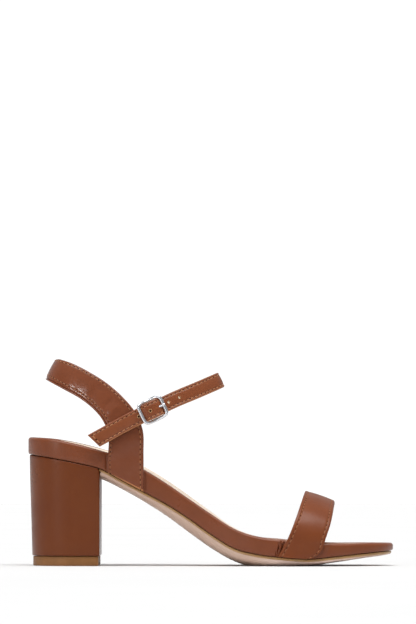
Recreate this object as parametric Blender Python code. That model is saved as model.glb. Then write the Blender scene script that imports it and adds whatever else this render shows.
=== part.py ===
"""Ankle strap block heel sandal for a right foot, worked out in millimetres and built in metres.

+X runs from the heel to the toe, +Y to the inner side of the foot and +Z up.
The origin lies on the floor, halfway along the shoe and halfway across its ball.
"""
import math
from collections import namedtuple

import bmesh
import bpy
import numpy as np
from mathutils import Matrix, Vector

MM = 0.001

# Driving dimensions in millimetres
LENGTH = 227.6            # heel back to toe tip, along the floor
BALL_WIDTH = 76.0         # footbed across the ball
SEAT_HEIGHT = 79.5        # rim of the footbed above the floor at the heel
INSTEP_HEIGHT = 46.8      # top of the toe strap at its rear edge
TOE_BOX_HEIGHT = 40.4     # top of the toe strap at its front edge
FIT_GAP = 0.3             # between pieces that are glued or sewn together

# Ends of the outline, as superellipse arcs
HEEL_ROUND = 27.0
HEEL_SQUARENESS = 2.1
TOE_ROUND = 46.0
TOE_SQUARENESS = 2.3

# Outsole
SOLE_INSET = 1.2          # footbed outline to sole edge
SOLE_LIP = 1.3            # square lip at the sole edge
SOLE_BELLY_SQUARENESS = 2.3
SOLE_TOE_RUNOUT = 15.0    # length over which the belly fades at the toe

# Heel
BREAST_X = 44.8           # front of the heel, before its inset
HEEL_TOP_INSET = 0.3      # heel inside the footbed outline at its top
BREAST_CORNER = 2.0
LIFT_HEIGHT = 6.0
HEEL_FOOT = LIFT_HEIGHT + FIT_GAP

# Straps
TOE_STRAP_WALL = 2.2
BACK_STRAP_WALL = 2.2
ANKLE_STRAP_WALL = 1.8
ANKLE_STRAP_WIDTH = 9.9
TAIL_SLANT = 3.2          # slanted cut of the free end, over the width
TAIL_RUN = 16.0           # length over which the slant fades
STRAP_EDGE_ROUND = 0.35
ARCH_SQUARENESS = 2.3     # cross-section of the toe strap over the foot
APEX_SKEW = 5.0           # apex of the toe strap towards the inner side
TOE_STRAP_SWING = 2.6     # inner end of the toe strap ahead of its outer end
QUARTER_BACK = 1.0        # inner quarter behind the outer one
QUARTER_LIFT = 1.3        # inner quarter above the outer one

# Buckle, in its own frame: run along the strap, across it, and out of it
BUCKLE_X = 77.6
FRAME_HALF_RUN = 7.6
FRAME_HALF_ACROSS = 6.5
FRAME_SQUARENESS = 7.0
WIRE_RADIUS = 0.75
PRONG_RADIUS = 0.6
PRONG_OVERHANG = 0.75     # tip of the prong past the end bar
HUMP_HEIGHT = 2.6         # the strap rises over the middle bar
HUMP_REACH = 5.3
HUMP_SQUARENESS = 8.0
SWELL = 0.9               # the strap is wider inside the frame
SWELL_REACH = 6.0
HOLE_RADIUS = 0.95
HOLE_RUNS = (-9.1, -1.9, 11.9, 19.4)
LOOP_WALL = 1.6
LOOP_RADIUS = 1.95
LOOP_HALF_ACROSS = 4.2
LOOP_SLOT = 2.0

# Stations along the ankle strap
LINE_COUNT = 400
HUMP_SPAN = 8.0           # stretch with close stations, to each side of the buckle

Section = namedtuple("Section", "along axis half rim rise wrap belly")
# along: share of LENGTH; axis, half: share of BALL_WIDTH; rim: share of SEAT_HEIGHT
# rise: inner edge above outer edge; wrap: side wall of the footbed; belly: depth of the outsole, in mm
SECTIONS = (
    Section(0.0000, 0.0105, 0.362, 1.003, 0.6, 10.4, 6.6),
    Section(0.0703, 0.0105, 0.362, 0.985, 1.0, 11.7, 6.6),
    Section(0.1406, 0.0105, 0.363, 0.9434, 1.5, 11.6, 6.6),
    Section(0.2009, 0.0040, 0.355, 0.8956, 1.7, 11.3, 6.5),
    Section(0.2611, -0.0080, 0.342, 0.839, 1.9, 14.0, 6.0),
    Section(0.3214, -0.0210, 0.328, 0.744, 2.0, 13.8, 6.5),
    Section(0.3817, -0.0316, 0.321, 0.637, 2.1, 12.7, 7.9),
    Section(0.4419, -0.0355, 0.334, 0.519, 1.8, 12.1, 9.1),
    Section(0.5022, -0.0316, 0.371, 0.401, 1.0, 12.5, 8.7),
    Section(0.5625, -0.0210, 0.426, 0.292, 0.2, 12.0, 8.0),
    Section(0.6227, -0.0105, 0.476, 0.231, -0.2, 10.8, 8.3),
    Section(0.6930, -0.0013, 0.500, 0.205, 0.0, 10.7, 6.6),
    Section(0.7633, 0.0079, 0.495, 0.187, 0.0, 10.3, 4.5),
    Section(0.8437, 0.0237, 0.474, 0.176, 0.0, 7.8, 3.6),
    Section(0.9240, 0.0420, 0.454, 0.177, 0.0, 5.9, 2.8),
    Section(1.0000, 0.0590, 0.434, 0.178, 0.0, 4.5, 2.2),
)

Layer = namedtuple("Layer", "inset share lift fore", defaults=(0.0,))
# inset: from the outline; share: 0 on the bottom surface, 1 on the top surface; lift: above that, in mm
# fore: how far the whole layer is set forward
FOOTBED_LAYERS = (
    Layer(2.0, 0, 0.0), Layer(0.5, 0, 0.1), Layer(0.0, 0, 1.0), Layer(0.0, 1, -3.0),
    Layer(0.6, 1, -1.2), Layer(1.9, 1, -0.1), Layer(3.0, 1, -0.3), Layer(3.5, 1, -1.3),
)
INSOLE_LAYERS = (Layer(3.9, 1, -1.0), Layer(3.9, 1, -0.4), Layer(4.6, 1, -0.1))
OUTSOLE_LAYERS = (
    Layer(SOLE_INSET + 0.5, 0, 0.0), Layer(SOLE_INSET, 1, -SOLE_LIP), Layer(SOLE_INSET, 1, 0.0),
)
HEEL_LAYERS = (
    Layer(1.6, 0, 0.0, 1.45), Layer(1.15, 0, 0.5, 1.45), Layer(0.85, 0, 20.0, 0.95), Layer(0.47, 0, 40.0, 0.38),
    Layer(HEEL_TOP_INSET, 1, -3.0), Layer(HEEL_TOP_INSET + 0.2, 1, -1.2), Layer(HEEL_TOP_INSET + 1.3, 1, 0.0),
)
LIFT_LAYERS = (
    Layer(2.3, 0, 0.0, 1.4), Layer(1.8, 0, 0.6, 1.4), Layer(1.8, 1, -0.3, 1.4), Layer(2.1, 1, 0.0, 1.4),
)

BackRow = namedtuple("BackRow", "top_x top_z top_half low_x low_z low_half")
# one side of the back strap from the heel down to the sole edge: both edges, half widths to the inner face
BACK_STRAP = (
    BackRow(19.1, 128.3, 0.0, 12.3, 115.0, 0.0),
    BackRow(21.8, 127.6, 9.0, 15.0, 113.4, 9.6),
    BackRow(28.8, 125.0, 14.6, 22.8, 109.1, 16.2),
    BackRow(38.8, 119.8, 18.6, 32.8, 103.5, 20.4),
    BackRow(49.3, 113.0, 21.4, 41.8, 96.3, 23.4),
    BackRow(59.3, 104.2, 23.6, 47.5, 89.1, 25.2),
    BackRow(67.5, 94.0, 24.9, 50.7, 80.5, 26.5),
    BackRow(71.8, 83.5, 25.3, 50.7, 73.0, 27.0),
    BackRow(72.3, 68.0, 25.4, 50.0, 66.0, 27.1),
    BackRow(72.3, 46.2, 25.4, 50.4, 57.6, 27.1),
)

AnkleRow = namedtuple("AnkleRow", "x y z lean")
# middle of the ankle strap from its free end, round the front, to the inner side; lean in degrees
ANKLE_STRAP = (
    AnkleRow(41.7, -32.4, 77.1, 29.0),
    AnkleRow(49.3, -31.6, 81.3, 29.0),
    AnkleRow(57.8, -31.0, 86.1, 29.5),
    AnkleRow(67.8, -30.7, 91.3, 30.0),
    AnkleRow(78.6, -29.2, 96.5, 29.5),
    AnkleRow(92.3, -23.8, 103.1, 27.0),
    AnkleRow(104.8, -16.6, 108.5, 25.5),
    AnkleRow(113.4, -9.8, 112.4, 25.5),
    AnkleRow(118.3, -4.6, 114.7, 25.5),
    AnkleRow(119.6, 0.0, 115.5, 25.5),
    AnkleRow(118.3, 4.6, 115.1, 25.5),
    AnkleRow(113.4, 9.8, 113.2, 25.0),
    AnkleRow(104.8, 16.0, 109.7, 24.0),
    AnkleRow(92.3, 20.8, 104.6, 25.0),
    AnkleRow(78.6, 23.4, 98.0, 26.0),
    AnkleRow(69.8, 24.2, 93.6, 27.0),
    AnkleRow(58.8, 25.4, 88.2, 28.5),
)

ClimbRow = namedtuple("ClimbRow", "climb rear front")
# edges of the toe strap: climb is 0 at the sole edge and 1 at the apex
TOE_STRAP = (
    ClimbRow(0.00, 155.1, 175.4),
    ClimbRow(0.035, 155.8, 177.4),
    ClimbRow(0.07, 156.5, 179.8),
    ClimbRow(0.11, 157.3, 181.3),
    ClimbRow(0.17, 158.5, 182.4),
    ClimbRow(0.25, 160.1, 183.1),
    ClimbRow(0.60, 165.7, 187.0),
    ClimbRow(1.00, 170.8, 189.6),
)

LoopRow = namedtuple("LoopRow", "run out")
# middle of the buckle tab behind the middle bar, in the frame of the buckle
LOOP_PATH = (LoopRow(-1.0, -1.0), LoopRow(-4.0, -3.1), LoopRow(-8.5, -6.1), LoopRow(-17.0, -9.3))

def hump(run):
    """Rise of the strap over the middle bar, flat on top, at a run from the buckle."""
    return HUMP_HEIGHT / (1.0 + (np.abs(run) / HUMP_REACH) ** HUMP_SQUARENESS)


BAR_OUT = ANKLE_STRAP_WALL / 2 + hump(FRAME_HALF_RUN) + FIT_GAP + WIRE_RADIUS
EYE_RADIUS = WIRE_RADIUS + FIT_GAP + PRONG_RADIUS
MIDDLE_BAR_OUT = HUMP_HEIGHT - ANKLE_STRAP_WALL / 2 - FIT_GAP - EYE_RADIUS - PRONG_RADIUS


def smooth(knots, values, at):
    """Cubic curve through a table, with three-point slopes."""
    knots = np.asarray(knots, float)
    values = np.asarray(values, float)
    at = np.asarray(at, float)
    slopes = np.gradient(values, knots, axis=0)
    i = np.clip(np.searchsorted(knots, at) - 1, 0, len(knots) - 2)
    step = knots[i + 1] - knots[i]
    t = np.clip((at - knots[i]) / step, 0.0, 1.0)
    if values.ndim > 1:
        t = t[:, None]
        step = step[:, None]
    rise = (2 * t**3 - 3 * t**2 + 1) * values[i] + (3 * t**2 - 2 * t**3) * values[i + 1]
    return rise + step * ((t**3 - 2 * t**2 + t) * slopes[i] + (t**3 - t**2) * slopes[i + 1])


def column(name, x):
    """A column of the section table at x, in its own unit."""
    return smooth([row.along * LENGTH for row in SECTIONS], [getattr(row, name) for row in SECTIONS], x)


def axis_y(x):
    """Middle of the footbed at x."""
    return column("axis", x) * BALL_WIDTH


def end_factor(x):
    """Share of the full half width left at x by the round heel and toe."""
    heel = np.clip((HEEL_ROUND - x) / HEEL_ROUND, 0.0, 1.0)
    toe = np.clip((x - LENGTH + TOE_ROUND) / TOE_ROUND, 0.0, 1.0)
    heel_share = (1.0 - heel**HEEL_SQUARENESS) ** (1.0 / HEEL_SQUARENESS)
    toe_share = (1.0 - toe**TOE_SQUARENESS) ** (1.0 / TOE_SQUARENESS)
    return heel_share * toe_share


def half_width(x):
    """Half width of the footbed at x."""
    return column("half", x) * BALL_WIDTH * end_factor(x)


def cross_share(x, y, inset=0.0):
    """Place across the shoe, from -1 on the outer edge to 1 on the inner edge."""
    return np.clip((y - axis_y(x)) / np.maximum(half_width(x) - inset, 0.5), -1.0, 1.0)


def footbed_top(x, y):
    """Rim height of the footbed."""
    return column("rim", x) * SEAT_HEIGHT + column("rise", x) * (cross_share(x, y) + 1.0) / 2


def footbed_bottom(x, y):
    """Underside of the footbed."""
    return footbed_top(x, y) - column("wrap", x)


def sole_top(x, y):
    """Upper face of the outsole and of the heel."""
    return footbed_bottom(x, y) - FIT_GAP


def sole_bottom(x, y):
    """Rounded belly of the outsole, ground flat where it meets the floor."""
    across = np.abs(cross_share(x, y, SOLE_INSET + 0.5)) ** SOLE_BELLY_SQUARENESS
    toe = np.clip((x - LENGTH + SOLE_TOE_RUNOUT) / (SOLE_TOE_RUNOUT - SOLE_INSET - 0.5), 0.0, 1.0)
    fade = np.clip(1.0 - across - toe**SOLE_BELLY_SQUARENESS, 0.0, 1.0) ** (1.0 / SOLE_BELLY_SQUARENESS)
    depth = SOLE_LIP + 0.15 + (column("belly", x) - SOLE_LIP) * fade
    return np.maximum(sole_top(x, y) - depth, 0.0)


def level(height):
    """A flat surface at one height."""
    return lambda x, y: np.full(np.shape(x), float(height))


def shoe_points(points):
    """Millimetres from the heel back to metres about the middle of the shoe."""
    points = np.asarray(points, float)
    return (points - np.array([LENGTH / 2, 0.0, 0.0])) * MM


def make_object(name, points, faces, material, parent):
    """One named solid from points in metres and faces."""
    mesh = bpy.data.meshes.new(name)
    mesh.from_pydata([tuple(p) for p in points], [], [tuple(f) for f in faces])
    work = bmesh.new()
    work.from_mesh(mesh)
    bmesh.ops.remove_doubles(work, verts=work.verts, dist=0.00001)
    bmesh.ops.recalc_face_normals(work, faces=work.faces)
    work.to_mesh(mesh)
    work.free()
    mesh.shade_smooth()
    mesh.set_sharp_from_angle(angle=math.radians(40))
    mesh.materials.append(material)
    solid = bpy.data.objects.new(name, mesh)
    bpy.context.scene.collection.objects.link(solid)
    solid.parent = parent
    return solid


def make_material(name, colour, roughness, metallic=0.0):
    """Principled material with one sRGB colour."""
    material = bpy.data.materials.new(name)
    material.use_nodes = True
    shader = material.node_tree.nodes["Principled BSDF"]
    linear = [(c / 255 / 12.92) if c <= 10 else ((c / 255 + 0.055) / 1.055) ** 2.4 for c in colour]
    shader.inputs["Base Color"].default_value = (*linear, 1.0)
    shader.inputs["Roughness"].default_value = roughness
    shader.inputs["Metallic"].default_value = metallic
    return material


def spaced(start, stop, count, tight_start, tight_stop):
    """Stations from start to stop, closer together at the ends asked for."""
    t = np.linspace(0.0, 1.0, count)
    if tight_start and tight_stop:
        t = (1.0 - np.cos(np.pi * t)) / 2
    elif tight_start:
        t = 1.0 - np.cos(np.pi * t / 2)
    elif tight_stop:
        t = np.sin(np.pi * t / 2)
    return start + (stop - start) * t


def full_stations(count):
    """Stations for the whole outline: both round ends and the run between them."""
    ends = max(count // 4, 6)
    heel = spaced(0.0, HEEL_ROUND, ends, True, False)
    run = np.linspace(HEEL_ROUND, LENGTH - TOE_ROUND, count - 2 * ends - 1)
    toe = spaced(LENGTH - TOE_ROUND, LENGTH, ends + 3, False, True)
    return np.concatenate([heel[:-1], run[:-1], toe])


def layered_solid(name, stations, half, layers, bottom, top, across, material, parent):
    """Solid between a bottom and a top surface, with its side wall stepped in layers inside an outline.

    An end with no half width closes in a point, another end closes in a straight face.
    """
    last = len(stations) - 1
    axis = axis_y(stations)
    shares = -np.cos(np.pi * np.arange(across + 1) / across)
    blunt_start = half[0] > 1e-6
    blunt_stop = half[last] > 1e-6
    ring = [(i, 0) for i in range(last + 1)]
    if blunt_stop:
        ring += [(last, j) for j in range(1, across)]
    ring += [(i, across) for i in range(last, -1, -1) if half[i] > 1e-6]
    if blunt_start:
        ring += [(0, j) for j in range(across - 1, 0, -1)]
    flat = np.array([(stations[i], axis[i] + half[i] * shares[j]) for i, j in ring])
    ahead = np.roll(flat, -1, axis=0) - flat
    ahead /= np.linalg.norm(ahead, axis=1)[:, None]
    along = ahead + np.roll(ahead, 1, axis=0)
    along /= np.linalg.norm(along, axis=1)[:, None]
    inward = np.column_stack([-along[:, 1], along[:, 0]])
    count = len(ring)
    points, faces = [], []
    rings = []
    for layer in layers:
        x, y = (flat + inward * layer.inset).T + np.array([[layer.fore], [0.0]])
        z = bottom(x, y) * (1 - layer.share) + top(x, y) * layer.share + layer.lift
        rings.append(np.column_stack([x, y, z]))
    for k, ring_points in enumerate(rings):
        points.extend(ring_points)
        if k:
            low, high = (k - 1) * count, k * count
            for i in range(count):
                n = (i + 1) % count
                faces.append((low + i, low + n, high + n, high + i))
    place = {key: n for n, key in enumerate(ring)}
    for k, surface in ((0, bottom), (len(layers) - 1, top)):
        base = k * count
        grid = {}
        for i in range(last + 1):
            start = place[(i, 0)]
            stop = place.get((i, across), start)
            for j in range(across + 1):
                if half[i] <= 1e-6:
                    grid[i, j] = base + start
                elif (i, j) in place:
                    grid[i, j] = base + place[i, j]
                else:
                    t = (shares[j] + 1) / 2
                    x, y = rings[k][start][:2] * (1 - t) + rings[k][stop][:2] * t
                    grid[i, j] = len(points)
                    points.append(np.array([x, y, float(surface(x, y)) + layers[k].lift]))
        for i in range(last):
            for j in range(across):
                loop = [grid[i, j], grid[i + 1, j], grid[i + 1, j + 1], grid[i, j + 1]]
                loop = list(dict.fromkeys(loop))
                if len(loop) > 2:
                    faces.append(loop if k else loop[::-1])
    return make_object(name, shoe_points(points), faces, material, parent)


def swept_solid(name, rings, material, parent, closed=False):
    """Solid through a run of rings with equal counts, closed at its ends or joined to itself."""
    count = len(rings[0])
    faces = []
    for k in range(len(rings) if closed else len(rings) - 1):
        low, high = k * count, ((k + 1) % len(rings)) * count
        for i in range(count):
            n = (i + 1) % count
            faces.append((low + i, low + n, high + n, high + i))
    if not closed:
        faces.append(tuple(range(count))[::-1])
        faces.append(tuple((len(rings) - 1) * count + i for i in range(count)))
    return make_object(name, np.concatenate(rings), faces, material, parent)


def unit(vectors):
    """Vectors of length one."""
    return vectors / np.linalg.norm(vectors, axis=-1)[..., None]


def strap_rings(inner, wall):
    """Rings round a strap from its inner face: the wall is laid on the outward side."""
    across = unit(np.gradient(inner, axis=1))
    outward = unit(np.cross(np.gradient(inner, axis=0), across))
    outer = inner + wall * outward
    outer[:, 0] += STRAP_EDGE_ROUND * across[:, 0]
    outer[:, -1] -= STRAP_EDGE_ROUND * across[:, -1]
    low = inner[:, :1] + 0.65 * wall * outward[:, :1]
    high = inner[:, -1:] + 0.65 * wall * outward[:, -1:]
    return np.concatenate([inner, high, outer[:, ::-1], low], axis=1)


def resample(points, count):
    """Even places along the smooth curve through rows of points, and the rows there."""
    points = np.asarray(points, float)
    run = np.concatenate([[0.0], np.cumsum(np.linalg.norm(np.diff(points[:, :3], axis=0), axis=1))])
    return smooth(run, points, np.linspace(0.0, run[-1], count))


def back_strap_grid(count, across):
    """Inner face of the back strap, from the inner side round the heel to the outer side."""
    rows = [(1, row) for row in reversed(BACK_STRAP)] + [(-1, row) for row in BACK_STRAP[1:]]
    table = []
    for side, row in rows:
        share = row.top_half / BACK_STRAP[-1].top_half if side > 0 else 0.0
        back, lift = share * QUARTER_BACK, share * QUARTER_LIFT
        low = np.array([row.low_x - back, side * row.low_half, row.low_z + lift])
        high = np.array([row.top_x - back, side * row.top_half, row.top_z + lift])
        table.append(np.concatenate([(low + high) / 2, low, high]))
    table = resample(table, count)
    low, high = table[:, 3:6], table[:, 6:9]
    t = np.linspace(0.0, 1.0, across + 1)[None, :, None]
    grid = low[:, None] * (1 - t) + high[:, None] * t
    x, half, z = grid[..., 0].ravel(), grid[..., 1].ravel(), grid[..., 2].ravel()
    beside = np.clip((column("rim", x) * SEAT_HEIGHT + 8.0 - z) / 8.0, 0.0, 1.0)
    side = np.sign(half)
    fitted = np.maximum(np.abs(half), half_width(x) + FIT_GAP + 0.05)
    half = side * (np.abs(half) * (1 - beside) + fitted * beside)
    y = axis_y(x) + half
    drop = footbed_bottom(x, y)
    last_row = np.zeros(grid.shape[:2], bool)
    last_row[0], last_row[-1] = True, True
    z = np.where(last_row.ravel(), drop, np.maximum(z, drop))
    return np.column_stack([x, y, z]).reshape(grid.shape)


def toe_strap_grid(count, across):
    """Inner face of the toe strap, from the inner side over the foot to the outer side."""
    leg = 5
    climbs = [row.climb for row in TOE_STRAP]
    grid = np.zeros((count, across + 1, 3))
    for j in range(across + 1):
        q = j / across
        apex = INSTEP_HEIGHT * (1 - q) + TOE_BOX_HEIGHT * q - TOE_STRAP_WALL
        angles = np.linspace(0.0, np.pi, count - 2 * leg)
        x = np.full(count, TOE_STRAP[-3].rear * (1 - q) + TOE_STRAP[-3].front * q)
        for _ in range(4):
            side = np.ones(count)
            side[count // 2:] = -1.0
            reach = half_width(x) + FIT_GAP + 0.05
            foot = footbed_bottom(x, axis_y(x) + side * reach)
            rim = column("rim", x) * SEAT_HEIGHT - 1.0
            cos, sin = np.cos(angles), np.sin(angles)
            y, z = side * reach, foot.copy()
            t = np.arange(leg) / leg
            z[:leg] = foot[:leg] + (rim[:leg] - foot[:leg]) * t
            z[-leg:] = (foot[-leg:] + (rim[-leg:] - foot[-leg:]) * t[::-1])
            power = 2.0 / ARCH_SQUARENESS
            y[leg:-leg] = np.sign(cos) * np.abs(cos) ** power * reach[leg:-leg] + APEX_SKEW * sin**2 * sin
            z[leg:-leg] = rim[leg:-leg] + (apex - rim[leg:-leg]) * np.abs(sin) ** power
            climb = np.clip((z - foot) / (apex - foot), 0.0, 1.0)
            rear = smooth(climbs, [row.rear for row in TOE_STRAP], climb)
            front = smooth(climbs, [row.front for row in TOE_STRAP], climb)
            swing = TOE_STRAP_SWING * (y / reach + 1.0) / 2
            x = rear * (1 - q) + front * q + swing
        grid[:, j] = np.column_stack([x, axis_y(x) + y, z])
    return grid


def ankle_strap_line(count):
    """Middle of the ankle strap with its width and outward directions, before the hump at the buckle."""
    table = resample([tuple(row) for row in ANKLE_STRAP], count)
    middle, lean = table[:, :3], np.radians(table[:, 3])
    along = unit(np.gradient(middle, axis=0))
    width = np.column_stack([-np.sin(lean), np.zeros(count), np.cos(lean)])
    width = unit(width - along * np.sum(width * along, axis=1)[:, None])
    return middle, along, width, np.cross(along, width)


def from_buckle(middle):
    """Length along the middle of the ankle strap, counted from the buckle."""
    run = np.concatenate([[0.0], np.cumsum(np.linalg.norm(np.diff(middle, axis=0), axis=1))])
    half = len(middle) // 2
    return run - np.interp(BUCKLE_X, middle[:half, 0], run[:half])


def ankle_strap_grid(count, across):
    """Inner face of the ankle strap, with stations close together at the buckle."""
    directions = ankle_strap_line(LINE_COUNT)
    run = from_buckle(directions[0])
    near = np.arange(-HUMP_SPAN, HUMP_SPAN + 0.5, 1.0)
    even = np.linspace(run[0], run[-1], count)
    places = np.sort(np.concatenate([near, even[np.abs(even) > HUMP_SPAN + 1.0]]))
    middle, along, width, outward = (
        np.column_stack([np.interp(places, run, table[:, k]) for k in range(3)]) for table in directions)
    middle = middle + outward * (hump(places) - ANKLE_STRAP_WALL / 2)[:, None]
    t = np.linspace(-0.5, 0.5, across + 1)[None, :, None]
    slant = TAIL_SLANT * np.clip(1.0 - (places - run[0]) / TAIL_RUN, 0.0, 1.0)
    wide = ANKLE_STRAP_WIDTH + SWELL * np.exp(-((places / SWELL_REACH) ** 4))
    return middle[:, None] + (width * wide[:, None] - along * slant[:, None])[:, None] * t


def buckle_matrix():
    """Frame of the buckle in the shoe, in metres: run, across and out."""
    middle, along, width, outward = ankle_strap_line(LINE_COUNT)
    i = int(np.argmin(np.abs(from_buckle(middle))))
    matrix = Matrix.Identity(4)
    for k, direction in enumerate((along[i], width[i], outward[i])):
        matrix.col[k][:3] = direction
    matrix.translation = Vector(shoe_points(middle[i]))
    return matrix


def tube_rings(path, radius, sides, flat, closed=False):
    """Round rings along a path; flat is a direction that the path never follows. Millimetres to metres."""
    path = np.asarray(path, float)
    if closed:
        along = unit(np.roll(path, -1, axis=0) - np.roll(path, 1, axis=0))
    else:
        along = unit(np.gradient(path, axis=0))
    side = unit(np.cross(along, np.asarray(flat, float)))
    up = np.cross(side, along)
    turn = 2 * np.pi * np.arange(sides) / sides
    radius = np.broadcast_to(radius, len(path))[:, None, None]
    circle = side[:, None] * np.cos(turn)[None, :, None] + up[:, None] * np.sin(turn)[None, :, None]
    return (path[:, None] + circle * radius) * MM


def frame_path(count):
    """Wire of the buckle frame: a rounded rectangle, bowed so that its ends stand over the strap."""
    t = np.linspace(0.0, 2 * np.pi, 721)
    power = 2.0 / FRAME_SQUARENESS
    run = np.sign(np.cos(t)) * np.abs(np.cos(t)) ** power * FRAME_HALF_RUN
    across = np.sign(np.sin(t)) * np.abs(np.sin(t)) ** power * FRAME_HALF_ACROSS
    length = np.concatenate([[0.0], np.cumsum(np.hypot(np.diff(run), np.diff(across)))])
    even = np.linspace(0.0, length[-1], count, endpoint=False)
    run, across = np.interp(even, length, run), np.interp(even, length, across)
    bow = (1.0 - np.cos(np.pi * np.clip(np.abs(run) / FRAME_HALF_RUN, 0.0, 1.0))) / 2
    return np.column_stack([run, across, MIDDLE_BAR_OUT + (BAR_OUT - MIDDLE_BAR_OUT) * bow])


def prong_line():
    """Slope of the prong and the place where it leaves its eye, in run and out."""
    rest = BAR_OUT + WIRE_RADIUS + FIT_GAP + PRONG_RADIUS
    slope = 0.35
    for _ in range(20):
        turn = math.atan(slope)
        leave = (-EYE_RADIUS * math.sin(turn), MIDDLE_BAR_OUT + EYE_RADIUS * math.cos(turn))
        slope = (rest - leave[1]) / (FRAME_HALF_RUN - leave[0])
    return slope, leave


def punch_points(start, stop, radius, sides):
    """Points and faces of one straight punch between two places."""
    start, stop = np.asarray(start, float), np.asarray(stop, float)
    along = unit(stop - start)
    side = unit(np.cross(along, np.array([0.3, 0.9, 0.2])))
    up = np.cross(side, along)
    turn = 2 * np.pi * np.arange(sides) / sides
    circle = (side[None] * np.cos(turn)[:, None] + up[None] * np.sin(turn)[:, None]) * radius
    points = np.concatenate([start + circle, stop + circle])
    faces = [(i, (i + 1) % sides, sides + (i + 1) % sides, sides + i) for i in range(sides)]
    faces += [tuple(range(sides))[::-1], tuple(range(sides, 2 * sides))]
    return points, faces


def hole_punches(matrix, material, parent):
    """Punches for the strap holes, with the one for the prong set along the prong."""
    middle, along, width, outward = ankle_strap_line(LINE_COUNT)
    run = from_buckle(middle)
    points, faces = [], []
    pairs = []
    for hole_run in HOLE_RUNS:
        i = int(np.argmin(np.abs(run - hole_run)))
        centre, normal = shoe_points(middle[i]), outward[i] * MM
        pairs.append((centre - normal * 2.5, centre + normal * 5.0))
    slope, leave = prong_line()
    ends = [(run, leave[1] + slope * (run - leave[0])) for run in (-0.4, 6.2)]
    pairs.append(tuple(np.array(matrix @ Vector((a * MM, 0.0, b * MM))) for a, b in ends))
    for start, stop in pairs:
        more, loops = punch_points(start, stop, HOLE_RADIUS * MM, 12)
        faces.extend(tuple(i + len(points) for i in loop) for loop in loops)
        points.extend(more)
    return make_object("hole_punches", points, faces, material, parent)


def hide(cutter):
    """Keep an operand of a Boolean out of the render."""
    cutter.hide_render = True
    cutter.display_type = "WIRE"


def combine(solid, operand, operation):
    """Join or cut a solid with another one."""
    modifier = solid.modifiers.new(operation.lower(), "BOOLEAN")
    modifier.operation = operation
    modifier.solver = "EXACT"
    modifier.object = operand
    hide(operand)


def build_buckle(matrix, metal, leather, parent):
    """Buckle frame with its middle bar, the prong and the tab that holds them."""
    pivot = bpy.data.objects.new("buckle_place", None)
    bpy.context.scene.collection.objects.link(pivot)
    pivot.parent = parent
    pivot.matrix_local = matrix

    frame = swept_solid("buckle_frame", tube_rings(frame_path(44), WIRE_RADIUS, 8, (0, 0, 1), True),
                        metal, pivot, closed=True)
    bar_ends = [(0, -FRAME_HALF_ACROSS, MIDDLE_BAR_OUT), (0, FRAME_HALF_ACROSS, MIDDLE_BAR_OUT)]
    bar = swept_solid("middle_bar", tube_rings(bar_ends, WIRE_RADIUS * 0.98, 10, (0, 0, 1)), metal, pivot)
    combine(frame, bar, "UNION")

    slope, leave = prong_line()
    turn = math.atan(slope)
    angles = np.linspace(math.radians(-60), math.radians(-270) + turn, 13)
    eye = [(EYE_RADIUS * math.cos(a), 0.0, MIDDLE_BAR_OUT + EYE_RADIUS * math.sin(a)) for a in angles]
    runs = np.linspace(leave[0], FRAME_HALF_RUN + PRONG_OVERHANG, 5)[1:]
    needle = [(r, 0.0, leave[1] + slope * (r - leave[0])) for r in runs]
    radii = [PRONG_RADIUS] * (len(eye) + 3) + [PRONG_RADIUS * 0.6]
    swept_solid("buckle_prong", tube_rings(eye + needle, np.array(radii), 8, (0, 1, 0)), metal, pivot)

    path = resample([(row.run, 0.0, row.out) for row in LOOP_PATH], 10)
    along = unit(np.gradient(path, axis=0))
    normal = np.column_stack([-along[:, 2], np.zeros(len(path)), along[:, 0]])
    under, over = path + normal * LOOP_WALL / 2, path - normal * LOOP_WALL / 2
    centre = np.array([0.0, 0.0, MIDDLE_BAR_OUT])
    start = math.atan2(over[0][2] - centre[2], over[0][0])
    stop = math.atan2(under[0][2] - centre[2], under[0][0])
    if stop > start:
        stop -= 2 * math.pi
    round_end = [centre + LOOP_RADIUS * np.array([math.cos(a), 0.0, math.sin(a)])
                 for a in np.linspace(start, stop, 15)[1:-1]]
    profile = np.array(list(over[::-1]) + round_end + list(under))
    sides = [(profile + np.array([0.0, y, 0.0])) * MM for y in (-LOOP_HALF_ACROSS, LOOP_HALF_ACROSS)]
    loop = swept_solid("buckle_loop", sides, leather, pivot)
    bore_ends = [(0, -9.0, MIDDLE_BAR_OUT), (0, 9.0, MIDDLE_BAR_OUT)]
    bore = swept_solid("loop_bore", tube_rings(bore_ends, WIRE_RADIUS + FIT_GAP, 14, (0, 0, 1)), leather, pivot)
    combine(loop, bore, "DIFFERENCE")
    reach = EYE_RADIUS + PRONG_RADIUS + FIT_GAP + 0.2
    corners = [(-reach, -1), (reach + 2, -1), (reach + 2, 1), (-reach, 1)]
    slot_rings = [np.array([(run, y * LOOP_SLOT / 2, out) for run, y in corners]) * MM
                  for out in (MIDDLE_BAR_OUT - 4.0, MIDDLE_BAR_OUT + 4.0)]
    slot = swept_solid("loop_slot", slot_rings, leather, pivot)
    combine(loop, slot, "DIFFERENCE")


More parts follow.
